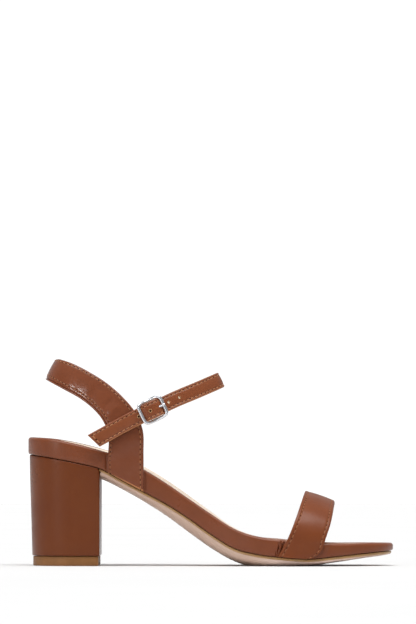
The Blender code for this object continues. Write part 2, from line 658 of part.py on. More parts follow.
def build():
    """Build every piece under one empty."""
    for old in list(bpy.data.objects):
        bpy.data.objects.remove(old)
    shoe = bpy.data.objects.new("shoe", None)
    bpy.context.scene.collection.objects.link(shoe)

    brown = (123, 72, 50)
    strap_leather = make_material("strap_leather", brown, 0.45)
    footbed_leather = make_material("footbed_leather", (120, 70, 49), 0.45)
    heel_leather = make_material("heel_leather", (114, 63, 42), 0.45)
    lining = make_material("insole_lining", (232, 224, 208), 0.7)
    resin = make_material("outsole_resin", (196, 166, 148), 0.6)
    rubber = make_material("top_lift_rubber", (139, 97, 62), 0.6)
    tab_leather = make_material("tab_leather", brown, 0.5)
    toe_leather = make_material("toe_strap_leather", brown, 0.45)
    nickel = make_material("buckle_nickel", (205, 205, 205), 0.2, 1.0)

    xs = full_stations(38)
    half = half_width(xs)
    half[0] = half[-1] = 0.0
    layered_solid("footbed", xs, half, FOOTBED_LAYERS, footbed_bottom, footbed_top, 6, footbed_leather, shoe)
    layered_solid("insole", xs, half, INSOLE_LAYERS, footbed_top, footbed_top, 4, lining, shoe)

    sole_start = BREAST_X - HEEL_TOP_INSET + FIT_GAP - SOLE_INSET
    run = np.linspace(sole_start, LENGTH - TOE_ROUND, 25)
    xs = np.concatenate([run[:-1], spaced(LENGTH - TOE_ROUND, LENGTH, 11, False, True)])
    half = half_width(xs)
    half[-1] = 0.0
    layered_solid("outsole", xs, half, OUTSOLE_LAYERS, sole_bottom, sole_top, 10, resin, shoe)

    xs = np.concatenate([spaced(0.0, HEEL_ROUND, 9, True, False)[:-1],
                         np.linspace(HEEL_ROUND, BREAST_X - BREAST_CORNER, 4)[:-1],
                         spaced(BREAST_X - BREAST_CORNER, BREAST_X, 5, False, True)])
    corner = np.clip((xs - BREAST_X + BREAST_CORNER) / BREAST_CORNER, 0.0, 1.0)
    half = half_width(xs) - BREAST_CORNER * (1.0 - np.sqrt(1.0 - corner**2))
    half[0] = 0.0
    layered_solid("heel_block", xs, half, HEEL_LAYERS, level(HEEL_FOOT), sole_top, 6, heel_leather, shoe)
    layered_solid("heel_top_lift", xs, half, LIFT_LAYERS, level(0.0), level(LIFT_HEIGHT), 6, rubber, shoe)

    toe_rings = strap_rings(toe_strap_grid(44, 3), TOE_STRAP_WALL)
    swept_solid("toe_strap", shoe_points(toe_rings), toe_leather, shoe)

    back_rings = strap_rings(back_strap_grid(58, 3), BACK_STRAP_WALL)
    back = swept_solid("back_and_ankle_strap", shoe_points(back_rings), strap_leather, shoe)
    ankle_rings = strap_rings(ankle_strap_grid(76, 2), ANKLE_STRAP_WALL)
    ankle = swept_solid("ankle_strap_form", shoe_points(ankle_rings), strap_leather, shoe)
    matrix = buckle_matrix()
    combine(ankle, hole_punches(matrix, strap_leather, shoe), "DIFFERENCE")
    combine(back, ankle, "UNION")

    build_buckle(matrix, nickel, tab_leather, shoe)


build()
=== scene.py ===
"""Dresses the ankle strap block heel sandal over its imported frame.

Sole, heel, footbed, straps, stitches and buckle are worked out in millimetres from the heel back,
with +X to the toe, +Y to the inner side and +Z up.
"""

import logging
import math
from dataclasses import dataclass, replace
from enum import Enum
from typing import Any, Callable, NamedTuple, Optional, Sequence

import bpy
import numpy as np
from mathutils import Matrix, Vector


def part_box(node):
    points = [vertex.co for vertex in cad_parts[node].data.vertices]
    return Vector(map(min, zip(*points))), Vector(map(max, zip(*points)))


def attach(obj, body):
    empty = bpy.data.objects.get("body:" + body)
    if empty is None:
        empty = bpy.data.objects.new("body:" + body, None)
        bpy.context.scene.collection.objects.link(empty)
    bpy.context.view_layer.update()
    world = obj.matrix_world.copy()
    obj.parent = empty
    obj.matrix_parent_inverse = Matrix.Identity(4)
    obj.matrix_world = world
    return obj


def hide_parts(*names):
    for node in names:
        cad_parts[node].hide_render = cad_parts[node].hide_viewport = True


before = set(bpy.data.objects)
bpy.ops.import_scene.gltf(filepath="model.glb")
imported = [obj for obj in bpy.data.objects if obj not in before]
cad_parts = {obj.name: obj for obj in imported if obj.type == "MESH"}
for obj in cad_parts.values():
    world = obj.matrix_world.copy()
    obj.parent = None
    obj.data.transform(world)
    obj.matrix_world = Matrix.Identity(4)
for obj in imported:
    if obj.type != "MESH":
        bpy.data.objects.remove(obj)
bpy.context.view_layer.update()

LOG = logging.getLogger("sandal")
MM = 0.001
# Range of a noise texture that holds most of its values
NOISE_RANGE = {"From Min": 0.3, "From Max": 0.7}
# A wave texture of scale 1 repeats this often over one unit
WAVES_PER_UNIT = 10 / math.pi

Array = np.ndarray
Surface = Callable[[Array, Array], Array]
Relief = Callable[[Array, Array, Array, Array], Array]


class Grain(Enum):
    """How the fine surface of a material was made."""

    PEBBLE = "embossed pebble grain"
    MOULDED = "matte mould"
    RIBBED = "moulded ribs"
    TWIST = "plied thread"
    POLISHED = "plated and polished"


class StrapFace(Enum):
    """Faces of a strap, as places in its list of finishes."""

    COVER = 0
    LINING = 1
    EDGE = 2
    CUT = 3


def linear(colour: str) -> tuple[float, float, float, float]:
    """Turns an sRGB hex colour into linear light.

    Args:
        colour: six hex digits after a hash.
    Returns:
        Red, green, blue and alpha for a shader socket.
    """
    shares = [int(colour[i:i + 2], 16) / 255 for i in (1, 3, 5)]
    light = [s / 12.92 if s <= 0.04045 else ((s + 0.055) / 1.055) ** 2.4 for s in shares]
    return (*light, 1.0)


def add_node(tree: bpy.types.NodeTree, kind: str, inputs: dict[Any, Any], **settings: Any) -> bpy.types.Node:
    """Adds a node with its settings, constants and links.

    Args:
        tree: node tree that the node goes into.
        kind: Blender's name of the node type.
        inputs: constant or output socket for each input, by name or place.
        settings: attributes of the node.
    Returns:
        The new node.
    """
    node = tree.nodes.new(kind)
    for name, value in settings.items():
        setattr(node, name, value)
    for name, value in inputs.items():
        if isinstance(value, bpy.types.NodeSocket):
            tree.links.new(value, node.inputs[name])
        else:
            node.inputs[name].default_value = value
    return node


@dataclass(frozen=True)
class Finish:
    """A real material and its surface, with colours as sRGB hex and sizes in millimetres."""

    name: str
    colour: str
    shade: str
    grain: Grain
    grain_mm: float
    depth_mm: float
    roughness: float
    roughness_spread: float = 0.06
    mottle_mm: float = 16.0
    metallic: float = 0.0
    ior: float = 1.5
    coat: float = 0.0
    coat_roughness: float = 0.25
    sheen: float = 0.0
    specular: float = 0.5
    dent_mm: float = 8.0
    dent_depth_mm: float = 0.0
    # Painted shade multiplied in away from a place of painted light: its colour, then that place, where the
    # change starts and where it is full
    painted_shade_tint: str = ""
    painted_light_mm: tuple[float, float, float] = (0.0, 0.0, 1.0)

    def material(self) -> bpy.types.Material:
        """Makes the node material, or finds the one already made.

        Returns:
            The material.
        """
        if self.name in bpy.data.materials:
            return bpy.data.materials[self.name]
        material = bpy.data.materials.new(self.name)
        material.use_nodes = True
        tree = material.node_tree
        shader = tree.nodes["Principled BSDF"]
        place = add_node(tree, "ShaderNodeTexCoord", {}).outputs["Object"]
        mottle = add_node(tree, "ShaderNodeTexNoise", {
            "Vector": place, "Scale": 1 / (self.mottle_mm * MM), "Detail": 4.0, "Roughness": 0.55})
        mottle = mottle.outputs["Fac"]
        tone = add_node(tree, "ShaderNodeMapRange", {"Value": mottle, **NOISE_RANGE})
        # Sockets of a node that mixes colours
        factor, first, second, mixed = 0, 6, 7, 2
        colour = add_node(tree, "ShaderNodeMix", {
            factor: tone.outputs["Result"], first: linear(self.shade), second: linear(self.colour)},
            data_type="RGBA").outputs[mixed]
        # Painted light and shade: the colour is multiplied darker away from a lit place along the shoe
        if self.painted_shade_tint:
            colour = add_node(tree, "ShaderNodeMix", {
                factor: self.toward_painted_shade(tree, place), first: colour, second: linear(self.painted_shade_tint)},
                data_type="RGBA", blend_type="MULTIPLY").outputs[mixed]
        gloss = add_node(tree, "ShaderNodeMapRange", {
            "Value": mottle, **NOISE_RANGE, "To Min": self.roughness + self.roughness_spread,
            "To Max": self.roughness - self.roughness_spread})
        dents = add_node(tree, "ShaderNodeTexNoise", {
            "Vector": place, "Scale": 1 / (self.dent_mm * MM), "Detail": 2.0})
        soft = add_node(tree, "ShaderNodeBump", {
            "Height": dents.outputs["Fac"], "Distance": self.dent_depth_mm * MM})
        bump = add_node(tree, "ShaderNodeBump", {
            "Height": self.height(tree, place), "Distance": self.depth_mm * MM,
            "Normal": soft.outputs["Normal"]})
        links = {"Base Color": colour, "Roughness": gloss.outputs["Result"], "Normal": bump.outputs["Normal"]}
        for name, output in links.items():
            tree.links.new(output, shader.inputs[name])
        constants = {"Metallic": self.metallic, "IOR": self.ior, "Coat Weight": self.coat,
                     "Coat Roughness": self.coat_roughness, "Sheen Weight": self.sheen,
                     "Specular IOR Level": self.specular}
        for name, value in constants.items():
            shader.inputs[name].default_value = value
        return material

    def toward_painted_shade(self, tree: bpy.types.NodeTree, place: bpy.types.NodeSocket) -> bpy.types.NodeSocket:
        """Makes a factor for the painted shade, growing from 0 at the place of painted light along the shoe
        to 1 towards both ends.

        Args:
            tree: node tree of the material.
            place: coordinates in metres.
        Returns:
            Socket with the factor.
        """
        middle, near, far = (value * MM for value in self.painted_light_mm)
        along = add_node(tree, "ShaderNodeSeparateXYZ", {"Vector": place}).outputs["X"]
        away = add_node(tree, "ShaderNodeMath", {0: along, 1: middle}, operation="SUBTRACT").outputs["Value"]
        size = add_node(tree, "ShaderNodeMath", {0: away}, operation="ABSOLUTE").outputs["Value"]
        fade = add_node(tree, "ShaderNodeMapRange", {"Value": size, "From Min": near, "From Max": far},
                        interpolation_type="SMOOTHSTEP")
        return fade.outputs["Result"]

    def height(self, tree: bpy.types.NodeTree, place: bpy.types.NodeSocket) -> bpy.types.NodeSocket:
        """Makes the height pattern of the grain.

        Args:
            tree: node tree of the material.
            place: coordinates in metres.
        Returns:
            Socket with the height from 0 to 1.
        """
        scale = 1 / (self.grain_mm * MM)
        if self.grain is Grain.PEBBLE:
            cells = add_node(tree, "ShaderNodeTexVoronoi", {"Vector": place, "Scale": scale},
                             feature="SMOOTH_F1")
            return cells.outputs["Distance"]
        if self.grain in (Grain.RIBBED, Grain.TWIST):
            wave = add_node(tree, "ShaderNodeTexWave", {
                "Vector": place, "Scale": scale / WAVES_PER_UNIT, "Distortion": 0.4},
                bands_direction="X" if self.grain is Grain.RIBBED else "DIAGONAL")
            return wave.outputs["Fac"]
        noise = add_node(tree, "ShaderNodeTexNoise", {"Vector": place, "Scale": scale, "Detail": 3.0})
        return noise.outputs["Fac"]


# Polyurethane-coated synthetic leather, embossed and calendered: even red-brown, soft broad highlights
STRAP_LEATHER = Finish("strap_pu_leather_embossed", "#763E21", "#6E381D", Grain.PEBBLE, 0.9, 0.02, 0.36,
                       ior=1.45, specular=0.25, dent_depth_mm=0.3)
# The same sheet on the back strap, pulled tight over its core: smoother, with a bright streak where it turns
BACK_LEATHER = Finish("back_pu_leather_pulled", "#774027", "#6D3921", Grain.PEBBLE, 0.9, 0.004, 0.21,
                      ior=1.45, specular=0.4, coat=0.1, coat_roughness=0.4, dent_mm=9.0, dent_depth_mm=0.3)
# The same sheet on the narrow ankle strap, a warmer and lighter brown: painted light for the light that its
# tilted tail catches
ANKLE_LEATHER_LIT = Finish("ankle_pu_leather_embossed", "#82482B", "#784024", Grain.PEBBLE, 0.9, 0.03, 0.34,
                       ior=1.45, specular=0.3, dent_mm=5.0, dent_depth_mm=0.3)
# The same sheet lasted over the footbed, pulled a little smoother
FOOTBED_LEATHER = Finish("footbed_pu_leather_lasted", "#784026", "#703B21", Grain.PEBBLE, 1.0, 0.025, 0.32,
                         ior=1.45, specular=0.35, dent_depth_mm=0.2)
# The same sheet stretched over the heel block, darkest and smoothest
HEEL_LEATHER = Finish("heel_pu_leather_wrapped", "#6C3718", "#663216", Grain.PEBBLE, 1.1, 0.02, 0.32,
                      mottle_mm=26.0, ior=1.45, specular=0.25, dent_mm=14.0, dent_depth_mm=0.2)
# Edge of the strap sheet, folded in and inked orange tan; its lighter colour is partly painted light, for the
# light that the rounded fold catches
FOLDED_EDGE = Finish("strap_folded_edge_inked", "#B07246", "#985E36", Grain.MOULDED, 0.4, 0.02, 0.5)
# Raw cut through the sheet: pale tan fibre backing
CUT_EDGE = Finish("strap_cut_edge_raw", "#CDA074", "#B08355", Grain.MOULDED, 0.3, 0.03, 0.75)
# Cream synthetic lining with a dry, fine grain
LINING = Finish("strap_lining_cream_synthetic", "#DCCFB8", "#D2C3AA", Grain.PEBBLE, 0.7, 0.03, 0.62)
# Sock lining: cream synthetic over thin foam, with a faint sheen
SOCK = Finish("sock_lining_cream_synthetic", "#E8D8C7", "#DECBB8", Grain.PEBBLE, 0.8, 0.03, 0.6, sheen=0.05)
# Thermoplastic rubber outsole from a matte mould: pinkish beige, paler under the ball as painted light,
# multiplied darker towards the arch and the toe tip as painted shade
SOLE_RESIN = Finish("outsole_thermoplastic_rubber_moulded", "#EDD3C7", "#E5C7B9", Grain.MOULDED, 0.5, 0.02,
                    0.5, mottle_mm=30.0, painted_shade_tint="#DFD9D0", painted_light_mm=(62.0, 12.0, 40.0))
# Sole edge, painted: tan gold with a low shine
EDGE_PAINT = Finish("outsole_edge_paint_tan", "#B48C5A", "#A27A4A", Grain.MOULDED, 0.6, 0.015, 0.38,
                    mottle_mm=9.0, coat=0.2)
# Cast rubber top lift, tan, dull from grinding along its side
LIFT_RUBBER = Finish("top_lift_rubber_ground", "#8A5D32", "#7C5229", Grain.RIBBED, 0.45, 0.01, 0.5,
                     mottle_mm=7.0, specular=0.35)
# Steel buckle, nickel-plated and polished: bright, cool mirror
NICKEL = Finish("buckle_nickel_plated", "#E4E6EA", "#D8DADF", Grain.POLISHED, 0.8, 0.004, 0.3, 0.05,
                mottle_mm=5.0, metallic=1.0)
# Bonded polyester thread, orange tan, lighter than the leather; its ply is drawn coarse enough to show
THREAD = Finish("stitch_polyester_thread_tan", "#A2693F", "#8C5731", Grain.TWIST, 0.5, 0.06, 0.55,
                mottle_mm=3.0)
# The same thread, a darker brown, on the toe band and along the lower edge of the back strap
DARK_THREAD = replace(THREAD, name="stitch_polyester_thread_brown", colour="#945B34", shade="#804C29",
                      roughness=0.6)
# The same thread on the ankle strap, a paler tan that stands out on its lighter brown
PALE_THREAD = replace(THREAD, name="stitch_polyester_thread_pale", colour="#B87D50", shade="#A1693E")
# Needle hole: dark plugs set in the cover with their caps just above it, painted shade for the holes
NEEDLE_HOLE_SHADE = Finish("needle_hole_painted_shade", "#3A1E10", "#2C150A", Grain.MOULDED, 0.3, 0.01, 0.8, specular=0.1)
# Punched strap hole: a dark brown disc low in the hole, painted shade for its depth
PUNCHED_HOLE_SHADE = Finish("strap_hole_painted_shade", "#5E3522", "#522C1B", Grain.MOULDED, 0.3, 0.01, 0.8, specular=0.1)
# White paper floor, matte and almost even
FLOOR_PAPER = Finish("floor_white_paper", "#DADADA", "#D7D7D7", Grain.MOULDED, 2.0, 0.0, 0.9, mottle_mm=400.0)


def smooth(knots: Sequence[float], values: Sequence, at: Array) -> Array:
    """Draws a cubic curve through a table, with three-point slopes.

    Args:
        knots: rising places of the rows.
        values: number or point of each row.
        at: places wanted.
    Returns:
        The values there.
    """
    knots, values, at = np.asarray(knots, float), np.asarray(values, float), np.asarray(at, float)
    slopes = np.gradient(values, knots, axis=0)
    i = np.clip(np.searchsorted(knots, at) - 1, 0, len(knots) - 2)
    step = knots[i + 1] - knots[i]
    t = np.clip((at - knots[i]) / step, 0.0, 1.0)
    if values.ndim > 1:
        t, step = t[..., None], step[..., None]
    rise = (2 * t**3 - 3 * t**2 + 1) * values[i] + (3 * t**2 - 2 * t**3) * values[i + 1]
    return rise + step * ((t**3 - 2 * t**2 + t) * slopes[i] + (t**3 - t**2) * slopes[i + 1])


def unit(vectors: Array) -> Array:
    """Vectors of length one."""
    return vectors / np.linalg.norm(vectors, axis=-1)[..., None]


def bell(distance: Array, reach: float) -> Array:
    """Soft hump of height one over a distance."""
    return np.exp(-((distance / reach) ** 2))


def ease(values: Array, start: float, stop: float) -> Array:
    """Shares that grow softly from 0 at start to 1 at stop."""
    t = np.clip((values - start) / (stop - start), 0.0, 1.0)
    return t * t * (3 - 2 * t)


def run_length(points: Array) -> Array:
    """Length along a line of points."""
    return np.concatenate([[0.0], np.cumsum(np.linalg.norm(np.diff(points[:, :3], axis=0), axis=1))])


def resample(rows: Sequence, count: int) -> Array:
    """Spaces rows of numbers evenly along the smooth curve through their first three columns.

    Args:
        rows: table rows, each starting with a point.
        count: rows wanted.
    Returns:
        The new rows.
    """
    finer = 8
    rows = np.asarray(rows, float)
    run = run_length(rows)
    fine = smooth(run, rows, np.linspace(0.0, run[-1], finer * count))
    fine_run = run_length(fine)
    return smooth(fine_run, fine, np.linspace(0.0, fine_run[-1], count))


class Mesh(NamedTuple):
    """Points in shoe millimetres, faces, and the place of each face's finish."""

    points: Array
    faces: list
    finish: list

    def dressed(self, finish: int) -> "Mesh":
        """The mesh with one finish all over."""
        return self._replace(finish=[finish] * len(self.faces))


@dataclass(frozen=True)
class Workshop:
    """Puts shoe millimetres into the frame and seats each piece on it."""

    heel_back: float

    def world(self, points: Array) -> Array:
        """Points in metres in the frame."""
        return np.asarray(points, float) * MM + np.array([self.heel_back, 0.0, 0.0])

    def solid(self, name: str, mesh: Mesh, finishes: Sequence[Finish]) -> bpy.types.Object:
        """Makes an object and links it to the scene.

        Args:
            name: name of the object.
            mesh: its shape.
            finishes: its finishes.
        Returns:
            The object.
        """
        data = bpy.data.meshes.new(name)
        data.from_pydata(self.world(mesh.points).tolist(), [], [tuple(f) for f in mesh.faces])
        data.polygons.foreach_set("material_index", np.asarray(mesh.finish, np.int32))
        for finish in finishes:
            data.materials.append(finish.material())
        solid = bpy.data.objects.new(name, data)
        bpy.context.scene.collection.objects.link(solid)
        return solid

    def piece(self, name: str, mesh: Mesh, finishes: Sequence[Finish], slot: str, *nodes: str,
              sharp_deg: float = 50.0) -> bpy.types.Object:
        """Makes a piece that rides on the shoe.

        Args:
            name: name of the piece.
            mesh: its shape.
            finishes: its finishes.
            slot: material slot name; not used.
            nodes: CAD nodes that it stands for.
            sharp_deg: edges above this angle stay sharp.
        Returns:
            The object.
        """
        piece = self.solid(name, mesh, finishes)
        piece.data.validate()
        piece.data.shade_smooth()
        piece.data.set_sharp_from_angle(angle=math.radians(sharp_deg))
        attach(piece, "root")
        if nodes:
            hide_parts(*nodes)
        LOG.info("%s: %d faces", name, len(mesh.faces))
        return piece


class Section(NamedTuple):
    """One section of the last: shares of length, ball width and seat height, then millimetres."""

    along: float
    axis: float
    half: float
    rim: float
    rise: float
    wrap: float
    belly: float


class Layer(NamedTuple):
    """One ring of a layered form: inset from the outline, share from bottom to top, lift and forward set."""

    inset: float
    share: float
    lift: float
    fore: float = 0.0


@dataclass
class Last:
    """Form of the foot that footbed, sole, heel and straps follow."""

    length: float
    ball_width: float = 76.0
    seat_height: float = 79.5
    heel_round: float = 27.0
    heel_squareness: float = 2.1
    toe_round: float = 46.0
    toe_squareness: float = 2.3
    fit_gap: float = 0.3
    sole_inset: float = 1.2
    sole_lip: float = 1.6
    lip_step: float = 0.15
    belly_edge: float = 0.5
    belly_squareness: float = 2.3
    toe_runout: float = 15.0
    least_half: float = 0.5
    sections: tuple[Section, ...] = (
        Section(0.0000, 0.0105, 0.362, 1.003, 0.6, 10.4, 6.6),
        Section(0.0703, 0.0105, 0.362, 0.985, 1.0, 11.7, 6.6),
        Section(0.1406, 0.0105, 0.363, 0.9434, 1.5, 11.6, 6.6),
        Section(0.2009, 0.0040, 0.355, 0.8956, 1.7, 11.3, 6.5),
        Section(0.2611, -0.0080, 0.342, 0.839, 1.9, 14.0, 6.0),
        Section(0.3214, -0.0210, 0.328, 0.744, 2.0, 13.8, 6.5),
        Section(0.3817, -0.0316, 0.321, 0.637, 2.1, 12.7, 7.9),
        Section(0.4419, -0.0355, 0.334, 0.519, 1.8, 12.1, 9.1),
        Section(0.5022, -0.0316, 0.371, 0.401, 1.0, 12.5, 8.7),
        Section(0.5625, -0.0210, 0.426, 0.292, 0.2, 12.0, 8.0),
        Section(0.6227, -0.0105, 0.476, 0.231, -0.2, 10.8, 8.3),
        Section(0.6930, -0.0013, 0.500, 0.205, 0.0, 10.7, 6.6),
        Section(0.7633, 0.0079, 0.495, 0.187, 0.0, 10.3, 4.5),
        Section(0.8437, 0.0237, 0.474, 0.176, 0.0, 7.8, 3.6),
        Section(0.9240, 0.0420, 0.454, 0.177, 0.0, 5.9, 2.8),
        Section(1.0000, 0.0590, 0.434, 0.178, 0.0, 4.5, 2.2),
    )

    def column(self, name: str, x: Array) -> Array:
        """A column of the section table at x."""
        return smooth([row.along * self.length for row in self.sections],
                      [getattr(row, name) for row in self.sections], x)

    def axis_y(self, x: Array) -> Array:
        """Middle of the footbed."""
        return self.column("axis", x) * self.ball_width

    def half_width(self, x: Array) -> Array:
        """Half width of the footbed, rounded off at heel and toe.

        Args:
            x: places along the shoe.
        Returns:
            Half widths there.
        """
        heel = np.clip((self.heel_round - x) / self.heel_round, 0.0, 1.0)
        toe = np.clip((x - self.length + self.toe_round) / self.toe_round, 0.0, 1.0)
        heel_share = (1.0 - heel**self.heel_squareness) ** (1.0 / self.heel_squareness)
        toe_share = (1.0 - toe**self.toe_squareness) ** (1.0 / self.toe_squareness)
        return self.column("half", x) * self.ball_width * heel_share * toe_share

    def across(self, x: Array, y: Array, inset: float = 0.0) -> Array:
        """Place across the shoe, from -1 on the outer edge to 1 on the inner edge."""
        half = np.maximum(self.half_width(x) - inset, self.least_half)
        return np.clip((y - self.axis_y(x)) / half, -1.0, 1.0)

    def rim(self, x: Array) -> Array:
        """Rim height on the outer side."""
        return self.column("rim", x) * self.seat_height

    def footbed_top(self, x: Array, y: Array) -> Array:
        """Rim height of the footbed."""
        return self.rim(x) + self.column("rise", x) * (self.across(x, y) + 1.0) / 2

    def footbed_bottom(self, x: Array, y: Array) -> Array:
        """Underside of the footbed."""
        return self.footbed_top(x, y) - self.column("wrap", x)

    def sole_top(self, x: Array, y: Array) -> Array:
        """Upper face of the outsole and of the heel."""
        return self.footbed_bottom(x, y) - self.fit_gap

    def sole_bottom(self, x: Array, y: Array) -> Array:
        """Rounded belly of the outsole, flat where it meets the floor.

        Args:
            x: places along the shoe.
            y: places across it.
        Returns:
            Heights above the floor.
        """
        edge = self.sole_inset + self.belly_edge
        power = self.belly_squareness
        side = np.abs(self.across(x, y, edge)) ** power
        toe = np.clip((x - self.length + self.toe_runout) / (self.toe_runout - edge), 0.0, 1.0) ** power
        fade = np.clip(1.0 - side - toe, 0.0, 1.0) ** (1.0 / power)
        depth = self.sole_lip + self.lip_step + (self.column("belly", x) - self.sole_lip) * fade
        return np.maximum(self.sole_top(x, y) - depth, 0.0)


def spaced(start: float, stop: float, count: int, tight_start: bool, tight_stop: bool) -> Array:
    """Spreads places from start to stop.

    Args:
        start: first place.
        stop: last place.
        count: how many places.
        tight_start: whether they lie closer together at the start.
        tight_stop: whether they lie closer together at the stop.
    Returns:
        The places.
    """
    t = np.linspace(0.0, 1.0, count)
    if tight_start and tight_stop:
        t = (1.0 - np.cos(np.pi * t)) / 2
    elif tight_start:
        t = 1.0 - np.cos(np.pi * t / 2)
    elif tight_stop:
        t = np.sin(np.pi * t / 2)
    return start + (stop - start) * t


def strip_faces(low: int, high: int, count: int) -> list[tuple[int, ...]]:
    """Faces between two closed rings of one count, each given by its first point."""
    return [(low + i, low + (i + 1) % count, high + (i + 1) % count, high + i) for i in range(count)]


@dataclass
class LayeredForm:
    """Closed form whose wall steps in layers inside an outline; an end with no width closes in a point."""

    last: Last
    stations: Array
    half: Array
    layers: Sequence[Layer]
    bottom: Surface
    top: Surface
    across: int
    relief: Optional[Relief] = None
    closed_half: float = 1e-6

    def __post_init__(self) -> None:
        """Orders the points round the outline, each a pair of its station and its step across."""
        end, across = len(self.stations) - 1, self.across
        pointed = self.half <= self.closed_half
        ring = [(i, 0) for i in range(end + 1)]
        if not pointed[end]:
            ring += [(end, j) for j in range(1, across)]
        ring += [(i, across) for i in range(end, -1, -1) if not pointed[i]]
        if not pointed[0]:
            ring += [(0, j) for j in range(across - 1, 0, -1)]
        self.end, self.pointed, self.ring = end, pointed, ring
        self.shares = -np.cos(np.pi * np.arange(across + 1) / across)
        self.place = {key: n for n, key in enumerate(ring)}

    def rings(self) -> list[Array]:
        """Works out the points of each layer.

        Returns:
            Rings from the bottom to the top, with the relief of the wall.
        """
        axis = self.last.axis_y(self.stations)
        flat = np.array([(self.stations[i], axis[i] + self.half[i] * self.shares[j]) for i, j in self.ring])
        ahead = unit(np.roll(flat, -1, axis=0) - flat)
        along = unit(ahead + np.roll(ahead, 1, axis=0))
        inward = np.column_stack([-along[:, 1], along[:, 0]])
        rings = []
        for k, layer in enumerate(self.layers):
            x, y = (flat + inward * layer.inset).T + np.array([[layer.fore], [0.0]])
            z = self.bottom(x, y) * (1 - layer.share) + self.top(x, y) * layer.share + layer.lift
            if self.relief is not None:
                out = self.relief(x, y, z, np.full(len(flat), k / (len(self.layers) - 1)))
                x, y = x - inward[:, 0] * out, y - inward[:, 1] * out
            rings.append(np.column_stack([x, y, z]))
        return rings

    def cap(self, ring: Array, first: int, free: int, height: Surface) -> tuple[list[Array], list[list[int]]]:
        """Closes one end of the wall.

        Args:
            ring: points of the end's ring.
            first: number of the ring's first point.
            free: number that the first new point gets.
            height: height of the cap.
        Returns:
            New points inside the ring, and faces that point up.
        """
        points, faces = [], []
        grid: dict[tuple[int, int], int] = {}
        steps = range(self.across + 1)
        for i in range(self.end + 1):
            start = self.place[i, 0]
            stop = self.place.get((i, self.across), start)
            inner = [j for j in steps if (i, j) not in self.place and not self.pointed[i]]
            for j in steps:
                grid[i, j] = first + (start if self.pointed[i] else self.place.get((i, j), 0))
            if inner:
                t = ((self.shares[inner] + 1) / 2)[:, None]
                x, y = (ring[start][:2] * (1 - t) + ring[stop][:2] * t).T
                points.append(np.column_stack([x, y, height(x, y)]))
                grid.update({(i, j): free + n for n, j in enumerate(inner)})
                free += len(inner)
        for i in range(self.end):
            for j in range(self.across):
                corners = (grid[i, j], grid[i + 1, j], grid[i + 1, j + 1], grid[i, j + 1])
                loop = list(dict.fromkeys(corners))
                if len(loop) > 2:
                    faces.append(loop)
        return points, faces

    def mesh(self) -> Mesh:
        """Builds the wall and both caps.

        Returns:
            The mesh; a face's finish is its layer, then one more for each cap.
        """
        rings = self.rings()
        points, faces, finish = list(rings), [], []
        count, top = len(self.ring), len(rings) - 1
        for k in range(top):
            faces += strip_faces(k * count, (k + 1) * count, count)
            finish += [k] * count
        for number, (k, surface) in enumerate(((0, self.bottom), (top, self.top))):
            lift, free = self.layers[k].lift, sum(map(len, points))
            inside, loops = self.cap(rings[k], k * count, free, lambda x, y: surface(x, y) + lift)
            points += inside
            faces += loops if number else [loop[::-1] for loop in loops]
            finish += [top + number] * len(loops)
        return Mesh(np.concatenate(points), faces, finish)


def tube_mesh(path: Array, radius: Array, flat: Array, sides: int, closed: bool = False,
              squash: float = 1.0) -> Mesh:
    """Builds a round bar along a path.

    Args:
        path: middle of the bar.
        radius: radius at each point.
        flat: direction that the path never follows.
        sides: points round the bar.
        closed: whether the bar joins itself.
        squash: thickness along flat, as a share of the width.
    Returns:
        The mesh.
    """
    if closed:
        along = unit(np.roll(path, -1, axis=0) - np.roll(path, 1, axis=0))
    else:
        along = unit(np.gradient(path, axis=0))
    side = unit(np.cross(along, flat))
    up = np.cross(along, side) * squash
    turn = 2 * np.pi * np.arange(sides) / sides
    circle = side[:, None] * np.cos(turn)[None, :, None] + up[:, None] * np.sin(turn)[None, :, None]
    rings = path[:, None] + circle * np.broadcast_to(radius, len(path))[:, None, None]
    return ring_mesh(rings, [0] * sides, closed)


def ring_mesh(rings: Array, finish: Sequence[int], closed: bool = False, cap: int = 0) -> Mesh:
    """Joins rings of equal count into one closed form.

    Args:
        rings: rings along the form, each a row of points.
        finish: finish of each strip of faces round the ring.
        closed: whether the last ring joins the first.
        cap: finish of the two ends.
    Returns:
        The mesh.
    """
    number, count = rings.shape[:2]
    faces, face_finish = [], []
    for k in range(number if closed else number - 1):
        faces += strip_faces(k * count, ((k + 1) % number) * count, count)
        face_finish += finish
    if not closed:
        faces += [tuple(range(count))[::-1], tuple((number - 1) * count + i for i in range(count))]
        face_finish += [cap, cap]
    return Mesh(rings.reshape(-1, 3), faces, face_finish)


def joined(meshes: Sequence[Mesh]) -> Mesh:
    """Joins several meshes into one.

    Args:
        meshes: meshes whose finishes come from one list.
    Returns:
        One mesh with all their faces.
    """
    starts = np.cumsum([0] + [len(m.points) for m in meshes])
    faces = [tuple(i + s for i in f) for m, s in zip(meshes, starts) for f in m.faces]
    return Mesh(np.concatenate([m.points for m in meshes]), faces, [k for m in meshes for k in m.finish])


class Crease(NamedTuple):
    """Soft trough or ridge in the shoe's millimetres.

    It has a middle, its reach along x and z, its lean of x with z, and its height out of the surface.
    """

    x: float
    z: float
    reach_x: float
    reach_z: float
    lean: float
    height: float


def crease_relief(creases: Sequence[Crease], x: Array, z: Array) -> Array:
    """Sum of soft troughs and ridges seen from the side.

    Args:
        creases: troughs and ridges.
        x: places along the shoe.
        z: heights.
    Returns:
        Outward offset there.
    """
    total = np.zeros(np.shape(x))
    for c in creases:
        total = total + c.height * bell(x - c.x - c.lean * (z - c.z), c.reach_x) * bell(z - c.z, c.reach_z)
    return total


